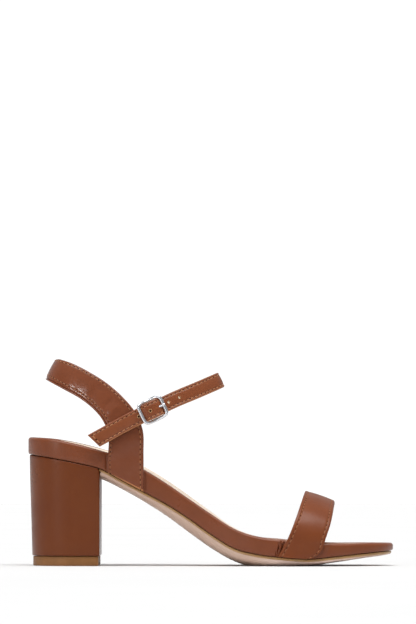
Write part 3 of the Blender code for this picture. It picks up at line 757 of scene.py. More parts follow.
@dataclass
class Footbed:
    """Wrapped footbed and its sock lining."""

    last: Last
    shop: Workshop
    across: int = 22
    heel_steps: int = 34
    toe_steps: int = 46
    run_step: float = 1.6
    crease_steps: int = 13
    crease_reach: float = 2.2
    least_step: float = 0.12
    wall_middle: float = 0.38
    wall_reach: float = 0.28
    sharp_deg: float = 70.0
    layers: tuple[Layer, ...] = (
        Layer(2.2, 0, 0.0), Layer(1.1, 0, 0.01), Layer(0.55, 0, 0.09), Layer(0.26, 0, 0.27),
        Layer(0.1, 0, 0.6), Layer(0.03, 0, 1.1), Layer(0.0, 0.35, 0.0), Layer(0.0, 0.45, 0.0),
        Layer(0.0, 0.55, 0.0), Layer(0.0, 1, -1.9), Layer(0.05, 1, -1.45), Layer(0.18, 1, -1.05),
        Layer(0.4, 1, -0.68), Layer(0.72, 1, -0.37), Layer(1.12, 1, -0.15), Layer(1.55, 1, -0.03),
        Layer(2.0, 1, 0.0), Layer(2.6, 1, -0.05), Layer(3.05, 1, -0.3), Layer(3.3, 1, -0.75),
        Layer(3.45, 1, -1.4),
    )
    sock_layers: tuple[Layer, ...] = (
        Layer(3.9, 1, -1.3), Layer(3.6, 1, -1.05), Layer(3.65, 1, -0.8), Layer(3.95, 1, -0.62),
        Layer(4.6, 1, -0.52), Layer(7.0, 1, -0.45),
    )
    # Swell of the sock lining along its inner edge: place along the shoe and height, low at the heel
    sock_swell: tuple[tuple[float, float], ...] = (
        (0.0, -0.4), (12.0, -0.4), (22.0, 0.1), (42.0, 0.3), (60.0, 0.5), (76.0, 0.7), (128.0, 0.7),
        (146.0, 0.2), (162.0, 0.0), (227.6, 0.0),
    )
    # Places across the shoe between which the swell sets in
    swell_span: tuple[float, float] = (0.1, 0.7)
    # Tuck of the cover behind the toe strap and beside the back strap, outer side
    creases: tuple[Crease, ...] = (
        Crease(155.2, 10.5, 0.42, 6.0, 0.37, -1.9),
        Crease(156.2, 10.5, 0.4, 6.0, 0.37, 0.55),
        Crease(157.6, 11.0, 0.5, 7.0, 0.37, -1.9),
        Crease(154.2, 10.0, 0.5, 6.0, 0.37, 0.3),
        Crease(49.4, 62.0, 0.8, 9.0, 0.0, -0.5),
        Crease(46.4, 64.0, 2.2, 8.0, 0.0, 0.22),
        Crease(73.2, 53.0, 0.9, 8.0, 0.0, -0.35),
        Crease(186.0, 9.5, 1.2, 5.0, 0.3, -0.3),
    )

    def stations(self) -> Array:
        """Spreads places along the shoe, close together at both ends and at the creases.

        Returns:
            Rising places.
        """
        last = self.last
        heel = spaced(0.0, last.heel_round, self.heel_steps, True, False)
        run = np.arange(last.heel_round, last.length - last.toe_round, self.run_step)
        beside = np.linspace(-self.crease_reach, self.crease_reach, self.crease_steps)
        dense = [c.x + beside * c.reach_x for c in self.creases]
        toe = spaced(last.length - last.toe_round, last.length, self.toe_steps, False, True)
        places = np.unique(np.round(np.concatenate([heel, run, toe, *dense]), 2))
        places = places[np.concatenate([[True], np.diff(places) > self.least_step])]
        places[-1] = last.length
        return places

    def wall_relief(self, x: Array, y: Array, z: Array, share: Array) -> Array:
        """Creases of the side wall, fading towards its lower and upper edge."""
        return crease_relief(self.creases, x, z) * bell(share - self.wall_middle, self.wall_reach)

    def sock_top(self, x: Array, y: Array) -> Array:
        """Rim height with the swell of the sock lining along its inner edge."""
        swell = smooth([row[0] for row in self.sock_swell], [row[1] for row in self.sock_swell], x)
        return self.last.footbed_top(x, y) + swell * ease(self.last.across(x, y), *self.swell_span)

    def build(self) -> None:
        """Builds the cover and the sock lining."""
        last = self.last
        xs = self.stations()
        half = last.half_width(xs)
        half[0] = half[-1] = 0.0
        cover = LayeredForm(last, xs, half, self.layers, last.footbed_bottom, last.footbed_top, self.across,
                            self.wall_relief).mesh()
        self.shop.piece("footbed_cover", cover.dressed(0), [FOOTBED_LEATHER], "footbed_cover", "footbed",
                        sharp_deg=self.sharp_deg)
        top = self.sock_top
        sock = LayeredForm(last, xs, half, self.sock_layers, top, top, self.across).mesh()
        self.shop.piece("sock_lining", sock.dressed(0), [SOCK], "sock_lining", "insole",
                        sharp_deg=self.sharp_deg)


@dataclass
class Outsole:
    """Moulded outsole with its painted edge."""

    last: Last
    shop: Workshop
    breast_x: float = 45.4
    breast_inset: float = 0.3
    across: int = 40
    run_steps: int = 110
    toe_steps: int = 44
    first_painted: int = 1
    last_painted: int = 6

    def layers(self) -> tuple[Layer, ...]:
        """Works out the steps of the wall.

        Returns:
            Rings from the belly over the square lip to the upper face.
        """
        inset, lip = self.last.sole_inset, self.last.sole_lip
        return (
            Layer(inset + self.last.belly_edge, 0, 0.0), Layer(inset + 0.35, 1, -lip - 0.05),
            Layer(inset + 0.15, 1, -lip + 0.05), Layer(inset, 1, -lip + 0.25),
            Layer(inset - 0.05, 1, -lip / 2), Layer(inset, 1, -0.25),
            Layer(inset + 0.2, 1, -0.04), Layer(inset + 0.6, 1, 0.0),
        )

    def build(self) -> None:
        """Builds the sole from the heel breast to the toe."""
        last = self.last
        start = self.breast_x - self.breast_inset + last.fit_gap - last.sole_inset
        bend = last.length - last.toe_round
        run = np.linspace(start, bend, self.run_steps)
        xs = np.concatenate([run[:-1], spaced(bend, last.length, self.toe_steps, False, True)])
        half = last.half_width(xs)
        half[-1] = 0.0
        form = LayeredForm(last, xs, half, self.layers(), last.sole_bottom, last.sole_top, self.across)
        mesh = form.mesh()
        painted = [int(self.first_painted <= k <= self.last_painted) for k in mesh.finish]
        self.shop.piece("outsole_body", mesh._replace(finish=painted), [SOLE_RESIN, EDGE_PAINT],
                        "outsole", "outsole")


@dataclass
class BlockHeel:
    """Covered block heel and its top lift."""

    last: Last
    shop: Workshop
    breast_x: float = 44.8
    corner: float = 2.0
    top_fore: float = 0.6
    top_round: float = 2.2
    top_steepest: float = 0.97
    lift_height: float = 6.0
    across: int = 20
    back_steps: int = 40
    side_steps: int = 14
    corner_steps: int = 12
    sharp_deg: float = 70.0
    cover_layers: tuple[Layer, ...] = (
        Layer(1.75, 0, 0.0, 1.45), Layer(1.4, 0, 0.05, 1.45), Layer(1.18, 0, 0.25, 1.45),
        Layer(1.13, 0, 0.6, 1.45), Layer(1.02, 0, 9.0, 1.35), Layer(0.85, 0, 20.0, 1.2),
        Layer(0.66, 0, 30.0, 1.05), Layer(0.47, 0, 40.0, 0.9), Layer(0.37, 0, 48.0, 0.75),
        Layer(0.3, 1, -1.7, 0.6), Layer(0.31, 1, -1.05, 0.6), Layer(0.37, 1, -0.6, 0.6),
        Layer(0.52, 1, -0.27, 0.6), Layer(0.85, 1, -0.06, 0.6), Layer(1.4, 1, 0.06, 0.6),
        Layer(2.4, 1, 0.22, 0.6),
    )
    lift_layers: tuple[Layer, ...] = (
        Layer(2.3, 0, 0.0, 1.4), Layer(2.0, 0, 0.12, 1.4), Layer(1.83, 0, 0.5, 1.4), Layer(1.8, 0, 2.0, 1.4),
        Layer(1.8, 1, -0.5, 1.4), Layer(1.9, 1, -0.16, 1.4), Layer(2.2, 1, 0.0, 1.4),
    )

    def stations(self) -> Array:
        """Spreads places from the heel back to the breast.

        Returns:
            Rising places.
        """
        bend, turn = self.last.heel_round, self.breast_x - self.corner
        return np.concatenate([spaced(0.0, bend, self.back_steps, True, False)[:-1],
                               np.linspace(bend, turn, self.side_steps)[:-1],
                               spaced(turn, self.breast_x, self.corner_steps, False, True)])

    def cover_top(self, x: Array, y: Array) -> Array:
        """Upper face of the cover, rounded down where it meets the breast."""
        over = np.clip((x - self.breast_x - self.top_fore) / self.top_round + 1.0, 0.0, self.top_steepest)
        return self.last.sole_top(x, y) - self.top_round * (1.0 - np.sqrt(1.0 - over**2))

    def build(self) -> None:
        """Builds the cover and the top lift."""
        last = self.last
        xs = self.stations()
        corner = np.clip((xs - self.breast_x + self.corner) / self.corner, 0.0, 1.0)
        half = last.half_width(xs) - self.corner * (1.0 - np.sqrt(1.0 - corner**2))
        half[0] = 0.0
        foot = self.lift_height + last.fit_gap

        def level(height: float) -> Surface:
            """A flat surface at one height."""
            return lambda x, y: np.full(np.shape(x), height)

        form = LayeredForm(last, xs, half, self.cover_layers, level(foot), self.cover_top, self.across)
        cover = form.mesh()
        self.shop.piece("heel_cover", cover.dressed(0), [HEEL_LEATHER], "heel_cover", "heel_block",
                        sharp_deg=self.sharp_deg)
        ground, top = level(0.0), level(self.lift_height)
        lift = LayeredForm(last, xs, half, self.lift_layers, ground, top, self.across).mesh()
        self.shop.piece("top_lift", lift.dressed(0), [LIFT_RUBBER], "top_lift", "heel_top_lift")


class StitchLine(NamedTuple):
    """Line of a stitch row on a cover, with its outward directions, its pitch and the place of its thread."""

    points: Array
    outward: Array
    pitch: float
    thread: int


@dataclass
class StitchKit:
    """One stitch and its needle holes, dark plugs of painted shade, repeated along a row."""

    length_share: float = 0.7
    radius: float = 0.3
    flatness: float = 0.8
    arch: float = 0.16
    arch_squareness: int = 4
    sink: float = 0.08
    end_share: float = 0.02
    end_squareness: int = 5
    hole_radius: float = 0.42
    hole_stretch: float = 1.15
    hole_lift: float = 0.05
    hole_depth: float = 0.5
    heading_step: float = 0.3
    rings: int = 9
    sides: int = 8
    hole_finish: int = 2

    def row(self, line: StitchLine) -> Mesh:
        """Lays stitches along a line.

        Args:
            line: line on the surface.
        Returns:
            Thread with the finish of the line, and needle holes, dark plugs of painted shade, with the finish
            after the last thread.
        """
        run = run_length(line.points)
        number = max(int(run[-1] / line.pitch), 1)
        middles = (np.arange(number) + 0.5) * run[-1] / number
        turn = 2 * np.pi * np.arange(self.sides) / self.sides
        shape = self.stitch(run[-1] / number, turn)
        spots, along, side, normal = self.places(line, run, middles)
        threads = spots[:, None, None]
        for k, way in enumerate((along, side, normal)):
            threads = threads + shape[None, ..., k:k + 1] * way[:, None, None]
        parts = [ring_mesh(one, [line.thread] * self.sides, cap=line.thread) for one in threads]
        holes = np.arange(number + 1) * run[-1] / number
        # Each needle hole is a dark plug whose cap stands just over the cover: painted shade
        for spot, a, s, n in zip(*self.places(line, run, holes)):
            spread = [a * math.cos(w) * self.hole_stretch + s * math.sin(w) for w in turn]
            rim = [spot + n * self.hole_lift + way * self.hole_radius for way in spread]
            low = [p - n * self.hole_depth for p in rim]
            hole = ring_mesh(np.array([low, rim]), [self.hole_finish] * self.sides, cap=self.hole_finish)
            parts.append(hole)
        return joined(parts)

    def stitch(self, pitch: float, turn: Array) -> Array:
        """Works out one stitch, with round ends and an arched back.

        Args:
            pitch: length from stitch to stitch.
            turn: angles of the points round the thread.
        Returns:
            Rings of points along the row, across it and out of the surface.
        """
        t = np.linspace(-1.0, 1.0, self.rings)
        thick = self.radius * np.sqrt(np.clip(1.0 - np.abs(t) ** self.end_squareness, self.end_share, 1.0))
        shape = np.zeros((self.rings, self.sides, 3))
        shape[..., 0] = (t * self.length_share * pitch / 2)[:, None]
        shape[..., 1] = thick[:, None] * np.cos(turn)
        rise = self.arch * (1.0 - t**self.arch_squareness) - self.sink
        shape[..., 2] = thick[:, None] * np.sin(turn) * self.flatness + rise[:, None]
        return shape

    def places(self, line: StitchLine, run: Array, at: Array) -> tuple[Array, Array, Array, Array]:
        """Works out places along a line.

        Args:
            line: line on the surface.
            run: length along the line at each of its points.
            at: lengths wanted.
        Returns:
            Points, and the directions along the line, across it and out of the surface.
        """
        def rows(table: Array, lengths: Array) -> Array:
            """Rows of a table at lengths along the line."""
            return np.column_stack([np.interp(lengths, run, table[:, k]) for k in range(3)])

        ahead, behind = (np.clip(at + step, 0, run[-1]) for step in (self.heading_step, -self.heading_step))
        along = unit(rows(line.points, ahead) - rows(line.points, behind))
        normal = unit(rows(line.outward, at))
        return rows(line.points, at), along, np.cross(normal, along), normal


@dataclass
class Strap:
    """A strap with a cover, a lining and folded edges; each kind gives its inner face."""

    last: Last
    shop: Workshop
    name: str
    slot: str
    wall: float = 2.2
    count: int = 300
    middle_steps: int = 10
    edge_round: float = 0.75
    stitch_insets: tuple[float, float] = (1.9, 1.9)
    stitch_pitches: tuple[float, float] = (3.2, 3.2)
    ply_insets: tuple[float, float] = (0.0, 0.0)
    ply_depth: float = 0.8
    ply_end: float = 0.6
    ply_reach: float = 0.24
    groove: float = 0.3
    groove_reach: float = 0.38
    bead: float = 0.12
    bead_share: float = 0.55
    bead_reach: float = 0.45
    crown: float = 0.35
    fit_slack: float = 0.05
    # Heights of the points on a cut edge, as shares of the wall, from the cover down
    edge_shares: tuple[float, float] = (0.4, 0.15)
    # Distances from an edge, from the ply line and from the stitch row at which the cover has points
    fold_steps: tuple[float, ...] = (0.0, 0.06, 0.18, 0.36, 0.6)
    ply_steps: tuple[float, ...] = (-0.24, -0.12, 0.0, 0.12, 0.24)
    row_steps: tuple[float, ...] = (-0.7, -0.45, -0.25, -0.1, 0.0, 0.1, 0.25, 0.5, 0.9, 1.5)
    fold_end: float = 0.65
    leather: Finish = STRAP_LEATHER
    threads: tuple[Finish, Finish] = (THREAD, THREAD)
    creases: tuple[Crease, ...] = ()
    # Distances from an edge between which the creases set in
    crease_edge: tuple[float, float] = (3.5, 7.0)

    def edge_steps(self, end: int) -> Array:
        """Spreads points from one edge inwards.

        Args:
            end: 0 for the lower edge, 1 for the upper one.
        Returns:
            Distances, close together on the fold, at the ply line and at the stitch groove.
        """
        row = self.stitch_insets[end] + np.array(self.row_steps)
        ply = self.ply_insets[end] + np.array(self.ply_steps) if self.ply_insets[end] else []
        return np.unique(np.round(np.concatenate([self.fold_steps, ply, row[row > self.fold_end]]), 3))

    def inner(self, share: Array) -> Array:
        """Inner face of the strap at shares from its lower to its upper edge."""
        raise NotImplementedError

    def widths(self) -> Array:
        """Width of the strap at each place along it."""
        ends = self.inner(np.broadcast_to(np.array([0.0, 1.0]), (self.count, 2)))
        return np.linalg.norm(ends[:, 1] - ends[:, 0], axis=1)

    def spread(self) -> tuple[Array, Array]:
        """Works out places across the strap, close together at its edges.

        Returns:
            Shares across, and distances from the lower edge.
        """
        width = self.widths()[:, None]
        low, high = (self.edge_steps(end) * self.edge_scale(end) for end in (0, 1))
        middle = np.linspace(0.0, 1.0, self.middle_steps + 2)[None, 1:-1]
        inside = low[:, -1:] + (width - low[:, -1:] - high[:, -1:]) * middle
        place = np.concatenate([low, inside, width - high[:, ::-1]], axis=1)
        return place / width, place

    def outward(self, inner: Array) -> Array:
        """Outward directions of an inner face."""
        across = unit(np.gradient(inner, axis=1))
        return unit(np.cross(np.gradient(inner, axis=0), across))

    def edge_scale(self, end: int) -> Array:
        """How far the stitch row stands from one edge, as a share of its inset: 0 is the lower edge."""
        return np.ones((self.count, 1))

    def edge_rounds(self, end: int) -> Array:
        """Radius of the fold along one edge: 0 is the lower edge, 1 the upper one."""
        return np.full((self.count, 1), self.edge_round)

    def profile(self, place: Array, width: Array) -> Array:
        """Height of the cover over its inner face.

        Args:
            place: distances from the lower edge.
            width: width of the strap.
        Returns:
            Heights, with the folds, beads, ply lines and stitch grooves of both edges.
        """
        total = np.full(place.shape, self.wall)
        for end, distance in enumerate((place, width - place)):
            r = self.edge_rounds(end)
            inside = np.clip(r - distance, 0.0, r)
            total = total - (r - np.sqrt(r * r - inside * inside))
            scale = self.edge_scale(end)
            row = scale * self.stitch_insets[end]
            total = total + self.bead * bell(distance - self.bead_share * row, self.bead_reach)
            total = total - self.groove * bell(distance - row, self.groove_reach)
            if self.ply_insets[end]:
                ply = np.clip((scale - self.ply_end) / (1.0 - self.ply_end), 0.0, 1.0) * self.ply_depth
                total = total - ply * bell(distance - scale * self.ply_insets[end], self.ply_reach)
        return total

    def surface(self) -> tuple[Array, Array, Array]:
        """Works out the strap's inner face, outward directions and cover.

        Returns:
            Three grids of one shape, with a row for each place along the strap.
        """
        share, place = self.spread()
        inner = self.inner(share)
        width = self.widths()[:, None]
        outward = self.outward(inner)
        soft = crease_relief(self.creases, inner[..., 0], inner[..., 2])
        soft = soft * ease(np.minimum(place, width - place), *self.crease_edge)
        soft = soft * (inner[..., 1] < 0) + self.crown * (4 * share * (1 - share)) ** 2
        cover = inner + outward * (self.profile(place, width) + soft)[..., None]
        return inner, outward, cover

    def edge_strips(self) -> int:
        """Strips of faces on one cut edge."""
        return len(self.edge_shares) + 1

    def mesh(self) -> Mesh:
        """Builds the closed form of the strap.

        Returns:
            The mesh, with finishes in the order of StrapFace.
        """
        inner, outward, cover = self.surface()
        low = [inner[:, :1] + outward[:, :1] * self.wall * s for s in self.edge_shares]
        high = [inner[:, -1:] + outward[:, -1:] * self.wall * s for s in reversed(self.edge_shares)]
        rings = np.concatenate([inner, *high, cover[:, ::-1], *low], axis=1)
        steps = inner.shape[1] - 1
        edge = [StrapFace.EDGE.value] * self.edge_strips()
        finish = [StrapFace.LINING.value] * steps + edge + [StrapFace.COVER.value] * steps + edge
        return ring_mesh(rings, finish, cap=StrapFace.EDGE.value)

    def strips(self, mesh: Mesh) -> int:
        """Strips of faces round the strap in its mesh."""
        ends = 2
        return (len(mesh.finish) - ends) // (self.count - 1)

    def stitch_columns(self) -> tuple[int, int]:
        """Finds the columns of the cover that run along the stitch grooves.

        Returns:
            Column near the lower edge, and column near the upper one.
        """
        steps = [self.edge_steps(end) for end in (0, 1)]
        low, high = (int(np.argmin(np.abs(s - inset))) for s, inset in zip(steps, self.stitch_insets))
        return low, len(steps[0]) + self.middle_steps + len(steps[1]) - 1 - high

    def stitch_lines(self) -> list[StitchLine]:
        """Works out where the stitch rows run.

        Returns:
            One line near each edge.
        """
        _, outward, cover = self.surface()
        return [StitchLine(cover[:, j], outward[:, j], self.stitch_pitches[end], end)
                for end, j in enumerate(self.stitch_columns())]

    def finishes(self) -> list[Finish]:
        """Finishes in the order of StrapFace."""
        return [self.leather, LINING, FOLDED_EDGE, CUT_EDGE]

    def build(self, *nodes: str) -> bpy.types.Object:
        """Builds the strap and its stitches.

        Args:
            nodes: CAD nodes that the strap stands for.
        Returns:
            The strap.
        """
        piece = self.shop.piece(self.name, self.mesh(), self.finishes(), self.slot, *nodes)
        kit = StitchKit()
        rows = joined([kit.row(line) for line in self.stitch_lines()])
        self.shop.piece(f"{self.name}_stitches", rows, [*self.threads, NEEDLE_HOLE_SHADE], self.slot)
        return piece


class ClimbRow(NamedTuple):
    """Edges of the toe band: climb is 0 at the sole edge and 1 at the apex."""

    climb: float
    rear: float
    front: float


@dataclass
class ToeBand(Strap):
    """Toe band over the forefoot, lasted down both sides of the footbed."""

    instep_height: float = 46.8
    toe_box_height: float = 40.4
    squareness: float = 2.3
    apex_skew: float = 5.0
    front_round: float = 1.0
    front_reach: float = 0.35
    rim_drop: float = 1.0
    swing: float = 2.6
    leg: int = 40
    rounds: int = 5
    # Row beside the rim of the footbed, the first guess for both edges
    rim_row: int = 5
    rows: tuple[ClimbRow, ...] = (
        ClimbRow(0.00, 155.1, 175.4), ClimbRow(0.035, 155.8, 177.4), ClimbRow(0.07, 156.5, 179.8),
        ClimbRow(0.11, 157.3, 181.3), ClimbRow(0.17, 158.5, 182.4), ClimbRow(0.25, 160.1, 183.1),
        ClimbRow(0.60, 165.7, 187.0), ClimbRow(1.00, 170.8, 189.6),
    )

    def inner(self, share: Array) -> Array:
        """Inner face from the inner side over the foot to the outer side.

        Args:
            share: shares from the rear to the front edge, a row for each place along the band.
        Returns:
            Points of the face.
        """
        last, leg, count = self.last, self.leg, len(share)
        climbs = [row.climb for row in self.rows]
        apex = self.instep_height * (1 - share) + self.toe_box_height * share - self.wall
        angle = np.linspace(0.0, np.pi, count - 2 * leg)[:, None]
        cos, sin = np.cos(angle), np.sin(angle)
        side = np.where(np.arange(count) < count // 2, 1.0, -1.0)[:, None]
        rise = (np.arange(leg) / leg)[:, None]
        power = 2.0 / self.squareness
        rim_row = self.rows[self.rim_row]
        x = rim_row.rear * (1 - share) + rim_row.front * share
        for _ in range(self.rounds):
            reach = last.half_width(x) + last.fit_gap + self.fit_slack
            foot = last.footbed_bottom(x, last.axis_y(x) + side * reach)
            rim = last.rim(x) - self.rim_drop
            y, z = side * reach, foot.copy()
            z[:leg] = foot[:leg] + (rim[:leg] - foot[:leg]) * rise
            z[-leg:] = foot[-leg:] + (rim[-leg:] - foot[-leg:]) * rise[::-1]
            y[leg:-leg] = np.sign(cos) * np.abs(cos) ** power * reach[leg:-leg] + self.apex_skew * sin**3
            z[leg:-leg] = rim[leg:-leg] + (apex[leg:-leg] - rim[leg:-leg]) * np.abs(sin) ** power
            climb = np.clip((z - foot) / (apex - foot), 0.0, 1.0)
            rear = smooth(climbs, [row.rear for row in self.rows], climb)
            front = smooth(climbs, [row.front for row in self.rows], climb)
            x = rear * (1 - share) + front * share + self.swing * (y / reach + 1.0) / 2
        return np.stack([x, last.axis_y(x) + y, z], axis=-1)

    def edge_rounds(self, end: int) -> Array:
        """Radius of the fold, rounder along the front edge over the toes."""
        from_apex = np.linspace(-1.0, 1.0, self.count)[:, None]
        return self.edge_round + end * self.front_round * bell(from_apex, self.front_reach)


class BackRow(NamedTuple):
    """One side of the back strap: both edges, with half widths to the inner face."""

    top_x: float
    top_z: float
    top_half: float
    low_x: float
    low_z: float
    low_half: float


@dataclass
class BackStrap(Strap):
    """Back strap from the inner side of the footbed round the heel to the outer side."""

    # Soft folds where the strap turns down towards the ankle strap, outer side
    creases: tuple[Crease, ...] = (
        Crease(44.5, 110.0, 3.2, 9.0, 0.9, -0.22),
        Crease(52.8, 101.8, 2.4, 9.0, 1.1, -0.34),
        Crease(57.0, 98.6, 2.8, 9.0, 1.1, 0.3),
    )
    quarter_back: float = 1.0
    quarter_lift: float = 1.3
    back_round: float = 1.25
    back_reach: float = 0.16
    # Height over the rim at which the strap starts to lie against the footbed
    rim_reach: float = 8.0
    quarter_span: tuple[float, float] = (0.58, 0.7)
    quarter_scales: tuple[float, float] = (0.5, 1.3)
    turned_rows: int = 1
    rows: tuple[BackRow, ...] = (
        BackRow(19.1, 128.3, 0.0, 12.3, 115.0, 0.0), BackRow(21.8, 127.6, 9.0, 15.0, 113.4, 9.6),
        BackRow(28.8, 125.0, 14.6, 22.8, 109.1, 16.2), BackRow(38.8, 119.8, 18.6, 32.8, 103.5, 20.4),
        BackRow(49.3, 113.0, 21.4, 41.8, 96.3, 23.4), BackRow(59.3, 104.2, 23.6, 47.5, 89.1, 25.2),
        BackRow(67.5, 94.0, 24.9, 50.7, 80.5, 26.5), BackRow(71.8, 83.5, 25.3, 50.7, 73.0, 27.0),
        BackRow(72.3, 68.0, 25.4, 50.0, 66.0, 27.1), BackRow(72.3, 46.2, 25.4, 50.4, 57.6, 27.1),
    )

    def inner(self, share: Array) -> Array:
        """Inner face from the inner side round the heel to the outer side.

        Args:
            share: shares from the lower to the upper edge, a row for each place along the strap.
        Returns:
            Points of the face.
        """
        last = self.last
        table = []
        for side, row in [(1, r) for r in reversed(self.rows)] + [(-1, r) for r in self.rows[1:]]:
            part = row.top_half / self.rows[-1].top_half if side > 0 else 0.0
            back, lift = part * self.quarter_back, part * self.quarter_lift
            low = np.array([row.low_x - back, side * row.low_half, row.low_z + lift])
            high = np.array([row.top_x - back, side * row.top_half, row.top_z + lift])
            table.append(np.concatenate([(low + high) / 2, low, high]))
        table = resample(table, len(share))
        low, high = table[:, None, 3:6], table[:, None, 6:9]
        grid = low * (1 - share[..., None]) + high * share[..., None]
        x, half, z = grid[..., 0], grid[..., 1], grid[..., 2]
        beside = np.clip((last.rim(x) + self.rim_reach - z) / self.rim_reach, 0.0, 1.0)
        fitted = np.maximum(np.abs(half), last.half_width(x) + last.fit_gap + self.fit_slack)
        half = np.sign(half) * (np.abs(half) * (1 - beside) + fitted * beside)
        y = last.axis_y(x) + half
        drop = last.footbed_bottom(x, y)
        z = np.maximum(z, drop)
        z[0], z[-1] = drop[0], drop[-1]
        return np.stack([x, y, z], axis=-1)

    def from_back(self) -> Array:
        """Place along the strap, from -1 at its inner end over 0 behind the heel to 1 at its outer end."""
        return np.linspace(-1.0, 1.0, self.count)[:, None]

    def edge_scale(self, end: int) -> Array:
        """Share of the stitch inset, changing where the strap becomes the quarter."""
        return 1.0 + (self.quarter_scales[end] - 1.0) * ease(np.abs(self.from_back()), *self.quarter_span)

    def mesh(self) -> Mesh:
        """Builds the strap with the edge finish on its rows at both lower ends.

        Returns:
            The mesh with a lighter line along both lower ends.
        """
        mesh = super().mesh()
        rows = np.arange(len(mesh.finish)) // self.strips(mesh)
        ends = (rows < self.turned_rows) | (rows >= self.count - 1 - self.turned_rows)
        return mesh._replace(finish=np.where(ends, StrapFace.EDGE.value, mesh.finish).tolist())

    def edge_rounds(self, end: int) -> Array:
        """Radius of the fold, rounder along the upper edge behind the heel."""
        return self.edge_round + end * self.back_round * bell(self.from_back(), self.back_reach)


class AnkleRow(NamedTuple):
    """Middle of the ankle strap, and its lean in degrees."""

    x: float
    y: float
    z: float
    lean: float


class StrapPlace(NamedTuple):
    """Place on the middle line of the ankle strap: length from the buckle, point and directions."""

    run: float
    middle: Array
    along: Array
    width: Array
    outward: Array


@dataclass
class AnkleBand(Strap):
    """Ankle strap from its free end through the buckle, round the front, to the inner quarter."""

    width: float = 9.9
    # Strips of the cover along the lower edge that take the lighter edge finish: painted light where the fold
    # catches light from the floor
    painted_light_fold: int = 4
    tail_slant: float = 3.2
    tail_run: float = 16.0
    buckle_x: float = 77.6
    hump_height: float = 2.6
    hump_reach: float = 5.3
    hump_squareness: float = 8.0
    swell: float = 0.9
    swell_reach: float = 6.0
    swell_squareness: float = 4.0
    line_count: int = 400
    hole_radius: float = 0.95
    hole_sides: int = 20
    # Reach of the punch below and above the middle of the strap
    punch_reach: tuple[float, float] = (2.5, 5.0)
    # Direction that no punch follows
    aside: tuple[float, float, float] = (0.3, 0.2, 0.9)
    plug_depth: float = 0.6
    plug_wall: float = 0.4
    plugged_holes: int = 2
    rim_wire: float = 0.2
    rim_steps: int = 28
    rim_sides: int = 8
    # Places of the punched holes along the strap, from the buckle
    hole_runs: tuple[float, ...] = (-9.1, -1.9, 11.9, 19.4)
    rows: tuple[AnkleRow, ...] = (
        AnkleRow(41.7, -32.4, 77.1, 29.0), AnkleRow(49.3, -31.6, 81.3, 29.0),
        AnkleRow(57.8, -31.0, 86.1, 29.5), AnkleRow(67.8, -30.7, 91.3, 30.0),
        AnkleRow(78.6, -29.2, 96.5, 29.5), AnkleRow(92.3, -23.8, 103.1, 27.0),
        AnkleRow(104.8, -16.6, 108.5, 25.5), AnkleRow(113.4, -9.8, 112.4, 25.5),
        AnkleRow(118.3, -4.6, 114.7, 25.5), AnkleRow(119.6, 0.0, 115.5, 25.5),
        AnkleRow(118.3, 4.6, 115.1, 25.5), AnkleRow(113.4, 9.8, 113.2, 25.0),
        AnkleRow(104.8, 16.0, 109.7, 24.0), AnkleRow(92.3, 20.8, 104.6, 25.0),
        AnkleRow(78.6, 23.4, 98.0, 26.0), AnkleRow(69.8, 24.2, 93.6, 27.0),
        AnkleRow(58.8, 25.4, 88.2, 28.5),
    )

    def line(self, count: int) -> tuple[Array, Array, Array, Array]:
        """Works out the middle line of the strap.

        Args:
            count: how many points.
        Returns:
            Points, and the directions along the strap, across it and out of it.
        """
        table = resample(self.rows, count)
        middle, lean = table[:, :3], np.radians(table[:, 3])
        along = unit(np.gradient(middle, axis=0))
        width = np.column_stack([-np.sin(lean), np.zeros(count), np.cos(lean)])
        width = unit(width - along * np.sum(width * along, axis=1)[:, None])
        return middle, along, width, np.cross(along, width)

    def from_buckle(self, middle: Array) -> Array:
        """Measures along the middle line from the buckle.

        Args:
            middle: points of the line.
        Returns:
            Length at each point, negative towards the free end.
        """
        run = run_length(middle)
        half = len(middle) // 2
        return run - np.interp(self.buckle_x, middle[:half, 0], run[:half])

    def inner(self, share: Array) -> Array:
        """Inner face from the free end to the inner quarter.

        Args:
            share: shares from the lower to the upper edge, a row for each place along the strap.
        Returns:
            Points of the face.
        """
        middle, along, width, outward = self.line(len(share))
        run = self.from_buckle(middle)
        slant = self.tail_slant * np.clip(1.0 - (run - run[0]) / self.tail_run, 0.0, 1.0)
        wide = self.width + self.swell * np.exp(-((run / self.swell_reach) ** self.swell_squareness))
        middle = middle + outward * (self.hump(run) - self.wall / 2)[:, None]
        span = width * wide[:, None] - along * slant[:, None]
        return middle[:, None] + span[:, None] * (share - 0.5)[..., None]

    def hump(self, run: Array) -> Array:
        """Rise of the strap over the middle bar, flat on top."""
        return self.hump_height / (1.0 + (np.abs(run) / self.hump_reach) ** self.hump_squareness)

    def place(self, run: float) -> StrapPlace:
        """Finds the place on the middle line at a length from the buckle.

        Args:
            run: length along the strap, negative towards its free end.
        Returns:
            The nearest place on the line.
        """
        line = self.line(self.line_count)
        runs = self.from_buckle(line[0])
        i = int(np.argmin(np.abs(runs - run)))
        return StrapPlace(float(runs[i]), *(table[i] for table in line))

    def buckle_matrix(self) -> Matrix:
        """Works out the frame of the buckle in shoe millimetres.

        Returns:
            Matrix with the directions along the strap, across it and out of it.
        """
        place = self.place(0.0)
        matrix = Matrix.Identity(4)
        for k, direction in enumerate((place.along, place.width, place.outward)):
            matrix.col[k][:3] = direction
        matrix.translation = Vector(place.middle)
        return matrix

    def stitch_lines(self) -> list[StitchLine]:
        """Works out where the stitch rows run.

        Returns:
            One line near each edge, and one across the free end.
        """
        _, outward, cover = self.surface()
        low, high = self.stitch_columns()
        start = int(np.argmin(np.abs(run_length(cover[:, low]) - self.stitch_insets[0])))
        rows = [StitchLine(cover[start:, j], outward[start:, j], self.stitch_pitches[end], end)
                for end, j in enumerate((low, high))]
        across = slice(low, high + 1)
        rows.append(StitchLine(cover[start, across], outward[start, across], self.stitch_pitches[0], 0))
        return rows

